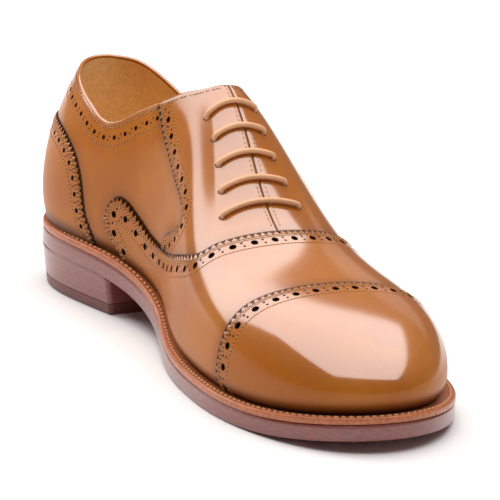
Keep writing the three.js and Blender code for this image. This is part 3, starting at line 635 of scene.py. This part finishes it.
def bead(length, width, height, around=6):
    """A stitch: a half-sunk rounded bar, two rings and two ends, as sine and cosine."""
    angle = np.arange(around) * 2 * np.pi / around
    rings = []
    for x, r in ((-0.32, 1.0), (0.32, 1.0)):
        rings.append(np.stack([np.full(around, x * length), r * width / 2 * np.cos(angle),
                               r * height * np.sin(angle)], -1))
    ends = np.array([[-length / 2, 0, 0], [length / 2, 0, 0]])
    points = np.concatenate(rings + [ends])
    i = np.arange(around)
    j = (i + 1) % around
    quads = np.stack([i, j, j + around, i + around], -1)
    caps = np.concatenate([np.stack([j, i, np.full(around, 2 * around)], -1),
                           np.stack([i + around, j + around, np.full(around, 2 * around + 1)],
                                    -1)])
    return points, [quads, caps]


def dish(radius, lip=0.0, sink=0.0, sides=12):
    """A flat disc, its middle sunk by a depth and its rim at a height over the surface."""
    angle = np.arange(sides) * 2 * np.pi / sides
    rim = np.stack([radius * np.cos(angle), radius * np.sin(angle), np.full(sides, lip)], -1)
    i = np.arange(sides)
    fan = np.stack([i, (i + 1) % sides, np.full(sides, sides)], -1)
    return np.concatenate([rim, [[0, 0, lip - sink]]]), [fan]


def joined(parts):
    """Several (points, faces) put together as one."""
    points, faces, start = [], [], 0
    for p, f in parts:
        points.append(p)
        faces += [g + start for g in f]
        start += len(p)
    return np.concatenate(points), faces


# Materials
class Finish:
    """A material's nodes, wired by name."""

    def __init__(self, name, roughness=0.5, coat=0.0, coat_roughness=0.1, sheen=0.0,
                 specular=0.5, coat_ior=1.5):
        self.material = bpy.data.materials.new(name)
        self.material.use_nodes = True
        self.nodes = self.material.node_tree.nodes
        self.links = self.material.node_tree.links
        self.shader = self.nodes["Principled BSDF"]
        for socket, value in (
                ("Roughness", roughness), ("Coat Weight", coat),
                ("Coat Roughness", coat_roughness), ("Coat IOR", coat_ior),
                ("Sheen Weight", sheen), ("Specular IOR Level", specular)):
            self.shader.inputs[socket].default_value = value
        place = self.nodes.new("ShaderNodeTexCoord")
        self.place = place.outputs["Object"]

    def link(self, a, b):
        """Joins an output to an input."""
        self.links.new(a, b)

    def noise(self, scale, detail=3.0, rough=0.55, stretch=None):
        """Noise on the piece's own coordinates, stretched by shares where given."""
        node = self.nodes.new("ShaderNodeTexNoise")
        node.inputs["Scale"].default_value = scale
        node.inputs["Detail"].default_value = detail
        node.inputs["Roughness"].default_value = rough
        place = self.place
        if stretch:
            turn = self.nodes.new("ShaderNodeMapping")
            turn.inputs["Scale"].default_value = stretch
            self.link(place, turn.inputs["Vector"])
            place = turn.outputs["Vector"]
        self.link(place, node.inputs["Vector"])
        return node.outputs["Fac"]

    def attribute(self, name):
        """A mark of the mesh."""
        node = self.nodes.new("ShaderNodeAttribute")
        node.attribute_name = name
        return node.outputs["Fac"]

    def facing_up(self):
        """The height part of the surface's own normal."""
        source = self.nodes.new("ShaderNodeNewGeometry")
        split = self.nodes.new("ShaderNodeSeparateXYZ")
        self.link(source.outputs["Normal"], split.inputs["Vector"])
        return split.outputs["Z"]

    def math(self, kind, a, b):
        """Two numbers or outputs put together."""
        node = self.nodes.new("ShaderNodeMath")
        node.operation = kind
        for k, value in enumerate((a, b)):
            if isinstance(value, (int, float)):
                node.inputs[k].default_value = value
            else:
                self.link(value, node.inputs[k])
        return node.outputs[0]

    def ramp(self, value, low, high, a=0.0, b=1.0):
        """A soft step from a to b while the value goes from low to high."""
        node = self.nodes.new("ShaderNodeMapRange")
        node.interpolation_type = "SMOOTHSTEP"
        self.link(value, node.inputs["Value"])
        node.inputs["From Min"].default_value = low
        node.inputs["From Max"].default_value = high
        node.inputs["To Min"].default_value = a
        node.inputs["To Max"].default_value = b
        return node.outputs["Result"]

    def mix(self, share, a, b):
        """Colour from a to b by a share."""
        node = self.nodes.new("ShaderNodeMix")
        node.data_type = "RGBA"
        self.link(share, node.inputs["Factor"])
        for socket, value in ((node.inputs[6], a), (node.inputs[7], b)):
            if isinstance(value, tuple):
                socket.default_value = value
            else:
                self.link(value, socket)
        return node.outputs[2]

    def bump(self, height, strength, distance):
        """Fine relief of the surface."""
        node = self.nodes.new("ShaderNodeBump")
        node.inputs["Strength"].default_value = strength
        node.inputs["Distance"].default_value = distance
        self.link(height, node.inputs["Height"])
        self.link(node.outputs["Normal"], self.shader.inputs["Normal"])

    def colour(self, value):
        """The surface's base colour."""
        self.link(value, self.shader.inputs["Base Color"])


def polished_calf(name, seamed=True):
    """Honey tan calf: cloudy colour and a fine grain under a clear polish, rubbed up more on
    what faces upward. Seamed, it is darker beside its seams and at raw edges, and it has
    painted shade where the next layer's edge lies over it and low down by the welt, by the
    marks of its mesh."""
    calf = Finish(name, roughness=0.42, coat=1.0, coat_roughness=0.14, specular=0.15,
                  coat_ior=2.1)
    cloud = calf.ramp(calf.noise(28, 3), 0.35, 0.7)
    base = calf.mix(cloud, (0.41, 0.112, 0.004, 1), (0.47, 0.142, 0.006, 1))
    fleck = calf.ramp(calf.noise(420, 4, 0.7), 0.45, 0.75)
    base = calf.mix(calf.math("MULTIPLY", fleck, 0.25), base, (0.32, 0.088, 0.004, 1))
    rubbed = calf.ramp(calf.facing_up(), 0.15, 0.6, 0.12, 1.0)
    if seamed:
        seam = calf.ramp(calf.attribute("edge"), 0.0, 7.0, 1.0, 0.0)
        base = calf.mix(calf.math("MULTIPLY", seam, 0.4), base, (0.20, 0.056, 0.006, 1))
        # Painted shade low down by the welt: darker over the lowest few mm of the upper
        low = calf.ramp(calf.attribute("low"), 1.0, 8.0, 0.9, 0.0)
        base = calf.mix(low, base, (0.07, 0.018, 0.006, 1))
        # Painted shadow beside the edge of the layer lying over this one, showing between its
        # teeth
        gap = calf.ramp(calf.attribute("gap"), 0.9, 1.8, 0.95, 0.0)
        base = calf.mix(gap, base, (0.045, 0.014, 0.004, 1))
        base = calf.mix(calf.attribute("raw"), base, (0.05, 0.016, 0.005, 1))
        dull = calf.math("MAXIMUM", gap, calf.attribute("raw"))
        dull = calf.math("MAXIMUM", dull, calf.math("MULTIPLY", low, 0.8))
        rubbed = calf.math("MULTIPLY", rubbed, calf.math("SUBTRACT", 1.0, dull))
    calf.colour(base)
    calf.link(rubbed, calf.shader.inputs["Coat Weight"])
    pores = calf.noise(1500, 2, 0.6)
    wave = calf.noise(60, 2, 0.5)
    height = calf.math("ADD", calf.math("MULTIPLY", pores, 0.12), wave)
    calf.bump(height, 0.12, 0.0006)
    return calf.material


def plain(name, light, dark, roughness, coat=0.0, grain=900.0, strength=0.15, sheen=0.0,
          depth=0.0002, stretch=None):
    """Two close tones in fine noise, with a bump of the same grain."""
    finish = Finish(name, roughness=roughness, coat=coat, coat_roughness=0.15, sheen=sheen,
                    coat_ior=1.6)
    tone = finish.noise(grain, 4, 0.6, stretch)
    finish.colour(finish.mix(finish.ramp(tone, 0.35, 0.65), dark, light))
    finish.bump(tone, strength, depth)
    return finish.material


CALF = polished_calf("polished_calf")
FOLDED_CALF = polished_calf("folded_calf", seamed=False)
LINING = plain("napped_lining", (0.92, 0.60, 0.25, 1), (0.80, 0.50, 0.19, 1), 0.9,
               sheen=0.3, grain=700, strength=0.5)
WELT = plain("waxed_welt", (0.56, 0.155, 0.045, 1), (0.38, 0.10, 0.028, 1), 0.42, coat=0.3,
             grain=600, strength=0.3)
SOLE_EDGE = plain("burnished_sole", (0.30, 0.080, 0.066, 1), (0.21, 0.056, 0.045, 1), 0.34,
                  coat=0.6, grain=260, strength=0.2, stretch=(1, 1, 7))
RUBBER = plain("heel_rubber", (0.20, 0.055, 0.044, 1), (0.14, 0.038, 0.031, 1), 0.5,
               coat=0.2, grain=800)
# Near-black painted shade for the floors of the punched holes, the pinholes and the needle
# pricks
HOLE_SHADE = plain("punched_hole_shade", (0.012, 0.004, 0.002, 1), (0.006, 0.002, 0.001, 1), 0.8,
             grain=800)
THREAD = plain("tan_thread", (0.60, 0.27, 0.08, 1), (0.44, 0.18, 0.05, 1), 0.7, grain=2500)
WELT_THREAD = plain("welt_thread", (0.80, 0.42, 0.22, 1), (0.60, 0.28, 0.13, 1), 0.65,
                    grain=2500)
LACE = plain("waxed_lace", (0.82, 0.45, 0.24, 1), (0.74, 0.38, 0.19, 1), 0.42, coat=0.15,
             grain=2600, strength=0.5, depth=0.0003)
FLOOR = plain("pale_floor", (0.9, 0.9, 0.9, 1), (0.88, 0.88, 0.88, 1), 0.8, grain=3,
              strength=0.01)


# Upper
into_cap = cap_seam.measure(SKIN)[1]
vamp_run, into_vamp = vamp_seam.measure(SKIN)
into_facing = facing_seam.measure(SKIN)[1]
into_counter = -counter_seam.measure(SKIN)[1]
below_collar = collar_seam.measure(SKIN)[1]
slit_gap = np.abs(SKIN[:, 0] - top_line_x(SKIN[:, 1]) - SLIT_OFFSET)
at_slit = (SKIN[:, 1] > SLIT_TOP - 12) & (SKIN[:, 1] < SLIT_END + 2) & (SKIN_V > 0.2)
off_slit = np.where(at_slit, slit_gap - 0.5, FAR)


def teeth(run, pitch=3.1, depth=2.1):
    """Pinking: equal teeth along a run, a zigzag with its points and notches cut flat."""
    zigzag = np.abs(2 * np.mod(run / pitch, 1) - 1)
    return depth * np.clip(1.5 * zigzag - 0.25, 0, 1)


def eyelets(side):
    """x and s of the eyelets of one side, wider apart toward the throat."""
    row = np.arange(5)
    s = EYELET_FIRST + row * EYELET_PITCH
    return top_line_x(s) + side * (EYELET_REACH + EYELET_SPREAD * (row / 4) ** 2), s


EYELET_PLACES = np.concatenate([
    surface_point(eyelets(side)[1], eyelets(side)[0], 0.0) for side in (-1, 1)])


def off_holes(places, radius):
    """Distance of each corner of the skin outside the nearest hole."""
    at = nearest(SKIN, places)
    return np.linalg.norm(SKIN - places[at], axis=1) - radius


off_eyelets = off_holes(EYELET_PLACES, LARGE_HOLE)
cap_run = cap_seam.measure(SKIN)[0]
facing_run = facing_seam.measure(SKIN)[0]
counter_run = counter_seam.measure(SKIN)[0]

# Rows of brogue holes: distance from the edge, pitch, share of a pitch before the first
CAP_ROW = (6.2, 9.4, 0.35)
VAMP_ROW = (6.2, 9.4, 0.3)
FACING_ROW = (6.0, 8.6, 0.4)
COUNTER_ROW = (-5.0, 7.2, 0.3)
COLLAR_ROW = (6.4, 7.4, 0.4)


def where_kept(rows, *fields):
    """Only the places where every field of the skin is over its limit."""
    places, normal, along = rows
    at = COARSE[nearest(places, SKIN[COARSE])]
    good = np.ones(len(places), bool)
    for field, limit in fields:
        good &= field[at] > limit
    return places[good], normal[good], along[good]


def row_of(seam, distance, pitch, phase, kept, height, form):
    """A form set at even places beside a seam, where the fields allow it, at a height."""
    places, normal, along = where_kept(seam.beside(distance, pitch, phase), *kept)
    return spots(places + normal * height, normal, along, *form)


on_cap = ((SKIN_V, -0.9), (into_cap, 1.0))
on_vamp = ((SKIN_V, -0.9), (-into_cap, 3.0), (into_vamp, 1.0))
on_facing = ((below_collar, 1.8), (-into_vamp, 1.4), (off_slit, 0.5), (into_facing, 1.0))
on_counter = ((SKIN_V, -0.9), (into_counter, 1.0))
on_quarter = ((-into_facing, 1.2), (-into_counter, 1.2), (below_collar, 1.0),
              (-into_vamp, 1.0))
cap_holes = where_kept(cap_seam.beside(*CAP_ROW), *on_cap)
vamp_holes = where_kept(vamp_seam.beside(*VAMP_ROW), *on_vamp)
facing_holes = where_kept(facing_seam.beside(*FACING_ROW), *on_facing)
counter_holes = where_kept(counter_seam.beside(*COUNTER_ROW), *on_counter)
collar_holes = where_kept(collar_seam.beside(*COLLAR_ROW), *on_quarter)

# The strip up the back seam, over the counter
strip_half = 5.2 + 0.028 * (SKIN[:, 2] - footing(0.0) - 44)
into_strip = np.where(SKIN[:, 1] < 60, strip_half - np.abs(SKIN[:, 0]), -9.0)
strip_in = np.minimum.reduce([
    into_strip - teeth(SKIN[:, 2], 2.8, 0.9), 1.0 - into_counter, below_collar])

quarter_in = np.minimum.reduce([
    below_collar - 0.4, 4.0 - into_vamp, 3.6 - into_facing,
    off_holes(collar_holes[0], SMALL_HOLE)])
panel("quarters", quarter_in, QUARTER_TOP, -0.8, CALF, ("upper",),
      soft=below_collar, gap=np.minimum.reduce([
          np.abs(into_facing - 0.9), np.abs(into_vamp - 0.9), np.abs(into_counter - 0.7),
          np.abs(into_strip - 0.6)]),
      edge=np.minimum.reduce([below_collar * 2, np.abs(into_facing), np.abs(into_vamp),
                              np.abs(into_counter)]))

cap_cut = into_cap - teeth(cap_run)
cap_in = np.minimum(cap_cut, off_holes(cap_holes[0], LARGE_HOLE))
panel("toe_cap_leather", cap_in, CAP_TOP, VAMP_TOP - 1.1, CALF, ("toe_cap",), edge=into_cap,
      soft=cap_cut)

vamp_cut = into_vamp - teeth(vamp_run)
vamp_in = np.minimum.reduce([
    vamp_cut, 4.0 - into_cap, off_holes(vamp_holes[0], LARGE_HOLE)])
panel("vamp_leather", vamp_in, VAMP_TOP, 0.0, CALF, ("vamp",), soft=vamp_cut,
      edge=np.minimum(into_vamp, np.abs(into_cap)), gap=np.abs(into_cap - 0.9))

for side, name in ((-1, "medial"), (1, "lateral")):
    own = side * (SKIN[:, 0] - top_line_x(SKIN[:, 1]) - SLIT_OFFSET)
    facing_cut = np.minimum.reduce([into_facing - teeth(facing_run), below_collar, own - 0.2])
    facing_in = np.minimum.reduce([
        facing_cut, 3.0 - into_vamp, off_eyelets, off_holes(facing_holes[0], FACING_HOLE)])
    panel(f"facing_{name}_leather", facing_in, FACING_TOP, -1.6, CALF,
          (f"facing_{name}",), soft=facing_cut, gap=np.abs(into_vamp - 0.9),
          edge=np.minimum.reduce([into_facing, below_collar, np.abs(into_vamp), own + 3]))

counter_cut = into_counter - teeth(counter_run, 2.8, 1.6)
counter_in = np.minimum(counter_cut, off_holes(counter_holes[0], SMALL_HOLE))
panel("counter_leather", counter_in, COUNTER_TOP, 0.0, CALF, ("counter",), soft=counter_cut,
      edge=into_counter)

panel("back_strip_leather", strip_in, COUNTER_TOP - 0.1, 0.0, CALF, ("back_strip",),
      edge=into_strip)

# Floors of the punched holes, a little under each layer, as near-black discs of painted shade
shade_floors = []
for (places, normal, along), radius, depth in (
        (cap_holes, 2.1, 0.5), (vamp_holes, 2.1, 0.08), (facing_holes, 1.95, -0.4),
        (counter_holes, 1.5, 0.06), (collar_holes, 1.55, -0.7)):
    template, faces = dish(radius, 0.0, 0.0)
    shade_floors.append(spots(places + normal * depth, normal, along, template, faces))
mesh("hole_shade_floors", *joined(shade_floors), HOLE_SHADE, "calf", flat=True)

# Pairs of pinholes between the holes, as near-black discs of painted shade on the surface
pinhole_shades = []
for seam, (distance, pitch, phase), top, kept, radius, spread in (
        (cap_seam, CAP_ROW, CAP_TOP, on_cap, 0.6, 1.1),
        (vamp_seam, VAMP_ROW, VAMP_TOP, on_vamp, 0.6, 1.1),
        (facing_seam, FACING_ROW, FACING_TOP, on_facing, 0.55, 1.0),
        (counter_seam, COUNTER_ROW, COUNTER_TOP, on_counter, 0.45, 0.8),
        (collar_seam, COLLAR_ROW, QUARTER_TOP, on_quarter, 0.45, 0.8)):
    for out in (-spread, spread):
        pinhole_shades.append(row_of(seam, distance + out, pitch, phase + 0.5, kept, top,
                               dish(radius, 0.03, 0.02, 10)))
mesh("pinhole_shades", *joined(pinhole_shades), HOLE_SHADE, "calf", flat=True)

# Stitch rows, with the needle's pricks between the stitches as small near-black discs of
# painted shade
THREAD_BEAD = bead(1.2, 0.62, 0.24)
PRICK = dish(0.34, 0.03, 0.02, 6)
stitches, prick_shades = [], []
for seam, distances, top, kept in (
        (cap_seam, (2.8, 3.9, 9.5), CAP_TOP, on_cap),
        (vamp_seam, (2.8, 3.9, 9.6), VAMP_TOP, on_vamp),
        (facing_seam, (2.8, 3.8, 9.4), FACING_TOP, on_facing),
        (counter_seam, (-2.3, -3.2, -7.8), COUNTER_TOP, on_counter),
        (collar_seam, (9.6,), QUARTER_TOP, on_quarter),
        (collar_seam, (2.0,), QUARTER_TOP, on_quarter),
        (collar_seam, (2.2,), FACING_TOP, on_facing)):
    for distance in distances:
        stitches.append(row_of(seam, distance, STITCH_PITCH, 0.0, kept, top - STITCH_SINK,
                               THREAD_BEAD))
        prick_shades.append(row_of(seam, distance, STITCH_PITCH, 0.5, kept, top, PRICK))
slit_s = np.arange(SLIT_TOP + 1, SLIT_END - 3, STITCH_PITCH)
for side in (-1, 1):
    x = top_line_x(slit_s) + SLIT_OFFSET + side * 2.1
    places, normal, _ = laid(surface_point(slit_s, x, 0.0))
    along = unit(np.gradient(places, axis=0))
    places, normal, along = where_kept((places, normal, along), (below_collar, STITCH_LIMIT))
    stitches.append(spots(places + normal * (FACING_TOP - STITCH_SINK), normal, along,
                          *THREAD_BEAD))
mesh("seam_stitches", *joined(stitches), THREAD, "calf")
mesh("needle_prick_shades", *joined(prick_shades), HOLE_SHADE, "calf", flat=True)

# Lining: the same skin, a wall's thickness in, turned to face the foot
lining_in = np.minimum(below_collar, off_slit)
lining_faces, (ea, eb, et), _ = clip(grid_triangles(3, 2), lining_in)
lining_points = lifted(
    np.concatenate([SKIN, SKIN[ea] + (SKIN[eb] - SKIN[ea]) * et[:, None]]),
    np.concatenate([SKIN_NORMAL, SKIN_NORMAL[ea]]),
    np.concatenate([SKIN_V, SKIN_V[ea]]), -UPPER_WALL)
used, lining_faces = np.unique(lining_faces, return_inverse=True)
mesh("lining", lining_points[used], lining_faces.reshape(-1, 3), LINING, "lining",
     outward=-np.concatenate([SKIN_NORMAL, SKIN_NORMAL[ea]])[used])

# Rolled edge of the collar
collar_path = collar_seam.points - 0.9 * collar_seam.normal
mesh("collar_roll", *tube(collar_path, 0.98, 12, closed=True), FOLDED_CALF, "calf")


# Tongue, insole
def slab(corner, rows, across, thickness_at):
    """A closed plate: corner(i, j) on top, the same lowered by a thickness below."""
    i, j = np.meshgrid(np.linspace(0, 1, rows), np.linspace(-1, 1, across), indexing="ij")
    top = corner(i, j, 0.0).reshape(-1, 3)
    low = corner(i, j, thickness_at).reshape(-1, 3)
    n = rows * across
    label = np.arange(n).reshape(rows, across)
    quads = np.stack([label[:-1, :-1], label[1:, :-1], label[1:, 1:], label[:-1, 1:]],
                     -1).reshape(-1, 4)
    rim = np.concatenate([label[0], label[1:, -1], label[-1, -2::-1], label[-2:0:-1, 0]])
    after = np.roll(rim, -1)
    wall = np.stack([rim, after, after + n, rim + n], -1)
    faces = [quads, quads[:, ::-1] + n, wall[:, ::-1]]
    return np.concatenate([top, low]), faces


TONGUE_DEPTH = UPPER_WALL + 3 * CLEARANCE + LACE_BEND + LACE_RADIUS


def tongue_corner(i, j, thickness):
    """The surface under the facings, closer to it where the tongue is sewn under the vamp."""
    s = (TONGUE_START + (TONGUE_END - TONGUE_START) * i) * LAST_LENGTH
    share = np.clip((s - (SLIT_END - EYELET_PITCH)) / (EYELET_PITCH + CLEARANCE), 0, 1)
    share = share * share * (3 - 2 * share)
    depth = TONGUE_DEPTH + (UPPER_WALL + 2 * CLEARANCE - TONGUE_DEPTH) * share
    return surface_point(s, top_line_x(s) + j * TONGUE_WIDTH / 2, -depth - thickness)


mesh("tongue_leather", *slab(tongue_corner, 60, 41, TONGUE_THICKNESS), FOLDED_CALF, "calf",
     ("tongue",))


def plan_row(u, share, outward):
    """Across the shoe at heel-to-toe share u: from the inner edge (-1) to the outer (1),
    each edge being the plan moved outward along its own normal."""
    inner = plan(u) + plan_normal(u) * outward(u, -1)[..., None]
    outer = plan(2 - u) + plan_normal(2 - u) * outward(u, 1)[..., None]
    return inner + (outer - inner) * ((share + 1) / 2)[..., None]


def station_share(u):
    """Share of the length at u: half of 1 minus the cosine of the half circle."""
    return (1 - np.cos(np.pi * u)) / 2


def insole_edge(u, side):
    """How far the insole's edge lies outside the plan: less than nothing, by tuck and wall."""
    return -FEATHER_TUCK * column("tuck", station_share(u)) - UPPER_WALL - CLEARANCE


def insole_corner(i, j, thickness):
    """The board inside the upper, following the footing at its own thickness."""
    at = plan_row(i, j, insole_edge)
    z = footing(at[..., 1]) + INSOLE_THICKNESS - thickness
    return np.stack([at[..., 0], at[..., 1], z], -1)


mesh("sock_lining", *slab(insole_corner, 160, 31, INSOLE_THICKNESS), LINING, "lining",
     ("insole",))


# Bottom
def welt_edge(tau):
    """Reach of the welt beyond the plan at a turn."""
    u, side = fold(tau)
    share = station_share(u)
    return WELT_OVERHANG * np.where(side < 0, column("inner", share), column("outer", share))


TURNS = np.arange(720) * 2 / 720


def loop(outward, rise):
    """A loop round the shoe: the plan moved outward, at a rise over the sole's underside."""
    at = plan(TURNS) + plan_normal(TURNS) * outward[:, None]
    return np.stack([at[:, 0], at[:, 1], underside(at[:, 1]) + rise], -1)


edge = welt_edge(TURNS)
feather = -FEATHER_TUCK * column("tuck", station_share(fold(TURNS)[0]))
welt_profile = [(0.0, WELT_BOTTOM), (0.25, WELT_BOTTOM + 0.25), (0.25, WELT_TOP - 0.7),
                (0.05, WELT_TOP - 0.3), (-0.35, WELT_TOP - 0.05), (-0.9, WELT_TOP),
                (-1.6, WELT_TOP)]
welt_loops = [loop(edge + out, rise) for out, rise in welt_profile]
welt_loops += [loop(feather - 3.0, WELT_TOP), loop(feather - WELT_LEDGE, WELT_TOP),
               loop(feather - WELT_LEDGE, WELT_BOTTOM)]
mesh("welt_strip", *banded(welt_loops, ring=True), WELT, "welt_leather", ("welt",))


def around(outward, spacing):
    """Even places round the plan moved outward, with their level normals."""
    path = loop(outward, WELT_TOP)
    path = np.concatenate([path, path[:1]])
    run = run_of(path)
    at = np.arange(0, run[-1] - spacing / 2, spacing)
    places = at_run(run, path, at)
    along = unit(at_run(run, path, at + 0.5) - places)
    return places, np.tile([0.0, 0.0, 1.0], (len(at), 1)), along


mesh("welt_stitches", *spots(*around(edge - 2.0, 3.3), *bead(2.5, 1.1, 0.55, 8)),
     WELT_THREAD, "welt_leather")

sole_profile = [(-0.75, SOLE_THICKNESS), (-0.2, SOLE_THICKNESS - 0.15),
                (0.05, SOLE_THICKNESS - 0.6), (0.15, SOLE_THICKNESS - 1.6),
                (0.2, SOLE_THICKNESS * 0.5), (0.15, 1.2), (0.0, 0.5), (-0.3, 0.1),
                (-0.8, 0.0)]
sole_loops = [loop(edge + out, rise) for out, rise in sole_profile]
sole_points, sole_faces = banded(sole_loops)


def across_loop(first, count):
    """Faces across a loop, joining each corner to its twin on the other side."""
    i = np.arange(count // 2)
    near = first + (count - i) % count
    far = first + count - i - 1
    return np.stack([near, far, first + i + 1, first + i], -1)


n = len(TURNS)
last_loop = (len(sole_loops) - 1) * n
sole_faces += [across_loop(0, n), across_loop(last_loop, n)[:, ::-1]]
mesh("leather_sole", sole_points, sole_faces, SOLE_EDGE, "sole_leather", ("outsole",))


def heel_outline(out, points=220):
    """The heel's outline, from the inner breast corner round the back to the outer one."""
    tau = np.linspace(-0.42, 0.42, 600)[::-1]
    at = plan(tau) + plan_normal(tau) * (welt_edge(tau) + out)[:, None]
    middle = len(tau) // 2
    a = np.interp(HEEL_BREAST, at[:middle, 1][::-1], np.arange(middle)[::-1])
    b = np.interp(HEEL_BREAST, at[middle:, 1], np.arange(middle, len(tau)))
    run = np.linspace(a, b, points)
    return at_run(np.arange(len(tau)), at, run)


def heel_block(levels):
    """Levels of (inset, height, share of the way up to the sole), closed by a breast face
    that bows forward by a half sine and by two flat ends."""
    loops = []
    way = np.linspace(0, 1, 26)[1:-1, None]
    for inset, height, share in levels:
        back = heel_outline(-inset)
        face = back[-1] + (back[0] - back[-1]) * way
        face[:, 1] -= np.sin(np.pi * way[:, 0])
        ring = np.concatenate([back, face])
        z = height + share * (underside(ring[:, 1]) - STACK_BOTTOM)
        loops.append(np.concatenate([ring, z[:, None]], 1))
    points, faces = banded(loops)
    count = len(loops[0])
    ends = []
    for k, turn in ((0, 1), (len(loops) - 1, -1)):
        centre = loops[k].mean(0)
        points = np.concatenate([points, centre[None]])
        i = np.arange(count) + k * count
        j = (np.arange(count) + 1) % count + k * count
        ends.append(np.stack([j, i, np.full(count, len(points) - 1)], -1)[:, ::turn])
    return points, faces + ends


def slope(z):
    """Inset of the heel's side at a height: all of the taper at the floor, none at the top."""
    return HEEL_TAPER * (1 - z / HEEL_HEIGHT)


stack_levels = [(slope(TOP_PIECE + share * (HEEL_HEIGHT - TOP_PIECE)), STACK_BOTTOM, share)
                for share in np.linspace(0, 1, 13)]
mesh("heel_lifts", *heel_block(stack_levels), SOLE_EDGE, "sole_leather", ("heel_stack",))
top_levels = [(slope(0) + 0.5, 0.0, 0), (slope(0), 0.5, 0), (slope(2.5), 2.5, 0),
              (slope(4.6), 4.6, 0), (slope(5) + 0.3, TOP_PIECE, 0)]
mesh("heel_top_piece", *heel_block(top_levels), RUBBER, "heel_rubber", ("top_piece",))


# Lace
def lace_route():
    """The lace's key points, threaded as the part's cord: five bars over the slit, joined by
    hidden runs under the facings, its ends at the top eyelets."""
    over = CLEARANCE + FACING_TOP + LACE_RADIUS + 0.15
    under = -UPPER_WALL - CLEARANCE
    depth = under - LACE_BEND
    bend, ease = LACE_BEND, LACE_BEND * 0.3
    spot = {side: list(zip(*eyelets(side))) for side in (-1, 1)}
    route = []

    def add(s, x, offset):
        """One key point, at an offset from the last."""
        route.append(surface_point(s, x, offset))

    def leg(x, s, inward, back=False):
        """Up through an eyelet and over in a bend, or the same way back."""
        rows = [(x, under), (x, over - bend), (x + inward * ease, over - ease),
                (x + inward * bend, over)]
        for px, offset in (rows[::-1] if back else rows):
            add(s, px, offset)

    def bar(row, start):
        """Straight over the slit at one row of eyelets."""
        (xa, s), (xb, _) = spot[start][row], spot[-start][row]
        leg(xa, s, -start)
        for share in (0.25, 0.5, 0.75):
            add(s, (xa - start * bend) * (1 - share) + (xb + start * bend) * share, over)
        leg(xb, s, start, back=True)

    def run(side, first, second, track):
        """Hidden, down one side from row to row, bowed aside as a half sine."""
        (xa, sa), (xb, sb) = spot[side][first], spot[side][second]
        toward = np.sign(sb - sa)
        shift = side * track * LACE_TRACK
        for share, extra, offset in (
                (0, toward * ease, depth + ease), (0, toward * bend, depth), (.3, 0, depth),
                (.5, 0, depth), (.7, 0, depth), (1, -toward * bend, depth),
                (1, -toward * ease, depth + ease)):
            add(sa + (sb - sa) * share + extra,
                xa + (xb - xa) * share + shift * np.sin(np.pi * share), offset)

    (xt, st), (xs, ss) = spot[-1][0], spot[-1][1]
    for share in (1, 0.6, 0.25):
        add(ss + (st - ss) * share, xs + (xt - xs) * share
            + LACE_TRACK * np.sin(np.pi * share / 2), depth)
    add(ss - ease, xs, depth + ease)
    bar(1, -1)
    run(1, 1, 3, -1)
    bar(3, 1)
    run(-1, 3, 4, 0)
    bar(4, -1)
    run(1, 4, 2, 1)
    bar(2, 1)
    run(-1, 2, 0, 1)
    bar(0, -1)
    add(spot[1][0][1], spot[1][0][0], depth + ease)
    return np.array(route)


mesh("round_lace", *tube(flowing(lace_route(), 6), LACE_RADIUS, 14), LACE, "lace_cotton",
     ("lace",))


# Camera, floor and light
BACK = Vector((-0.4418, -0.8527, 0.2787)).normalized()
TURN = np.radians(3.03)
AIM = Vector((-0.09893, -0.05397, 0.0768))
EYE = AIM + BACK * 5.5177
FOCAL = 6983.7            # in pixels of the photo
PHOTO_SIZE = 500
SHOE_IN_PHOTO = (328.5, 257)
ENLARGED = 1.85           # the one shoe fills the frame
LIGHT_HEIGHT = 1.0


def camera_axes(back):
    """Right and up of a camera that looks against back, rolled by the photo's own roll."""
    right = Vector((0, 0, 1)).cross(back).normalized()
    up = back.cross(right)
    return (right * np.cos(TURN) + up * np.sin(TURN),
            up * np.cos(TURN) - right * np.sin(TURN))


right, up = camera_axes(BACK)
LOOK = (-BACK * FOCAL + right * (SHOE_IN_PHOTO[0] - PHOTO_SIZE / 2)
        - up * (SHOE_IN_PHOTO[1] - PHOTO_SIZE / 2)).normalized()
right, up = camera_axes(-LOOK)
camera_data = bpy.data.cameras.new("camera")
camera_data.sensor_width = 36
camera_data.lens = FOCAL * ENLARGED / PHOTO_SIZE * camera_data.sensor_width
camera_data.clip_end = 50
camera = bpy.data.objects.new("camera", camera_data)
matrix = Matrix((right, up, -LOOK)).transposed().to_4x4()
matrix.translation = EYE
camera.matrix_world = matrix
bpy.context.scene.collection.objects.link(camera)
bpy.context.scene.camera = camera

floor_data = bpy.data.meshes.new("floor")
floor_data.from_pydata([(-6, -6, 0), (6, -6, 0), (6, 6, 0), (-6, 6, 0)], [], [(0, 1, 2, 3)])
floor_data.materials.append(FLOOR)
floor = bpy.data.objects.new("floor", floor_data)
bpy.context.scene.collection.objects.link(floor)

# The photo's plain contrast
bpy.context.scene.view_settings.view_transform = "Standard"

world = bpy.data.worlds.new("studio")
world.use_nodes = True
world.node_tree.nodes["Background"].inputs["Color"].default_value = (1, 1, 1, 1)
world.node_tree.nodes["Background"].inputs["Strength"].default_value = 0.12
bpy.context.scene.world = world


def softbox(name, x, y, width, length, power, turn=0.0):
    """A level rectangular light over the floor, turned by an angle."""
    data = bpy.data.lights.new(name, "AREA")
    data.shape = "RECTANGLE"
    data.size, data.size_y = width, length
    data.energy = power
    data.color = (1, 0.97, 0.95)
    lamp = bpy.data.objects.new(name, data)
    lamp.location = (x, y, LIGHT_HEIGHT)
    lamp.rotation_euler = (0, 0, turn)
    bpy.context.scene.collection.objects.link(lamp)


# One bank of light over the shoe, one running back over its left, a weak one at its right
softbox("top_box", 0.13, 0.07, 1.5, 1.5, 20.5, -0.15)
softbox("back_left_box", -1.33, 2.32, 1.3, 4.0, 48, 0.67)
softbox("back_right_box", 1.7, 1.9, 1.2, 1.6, 2)
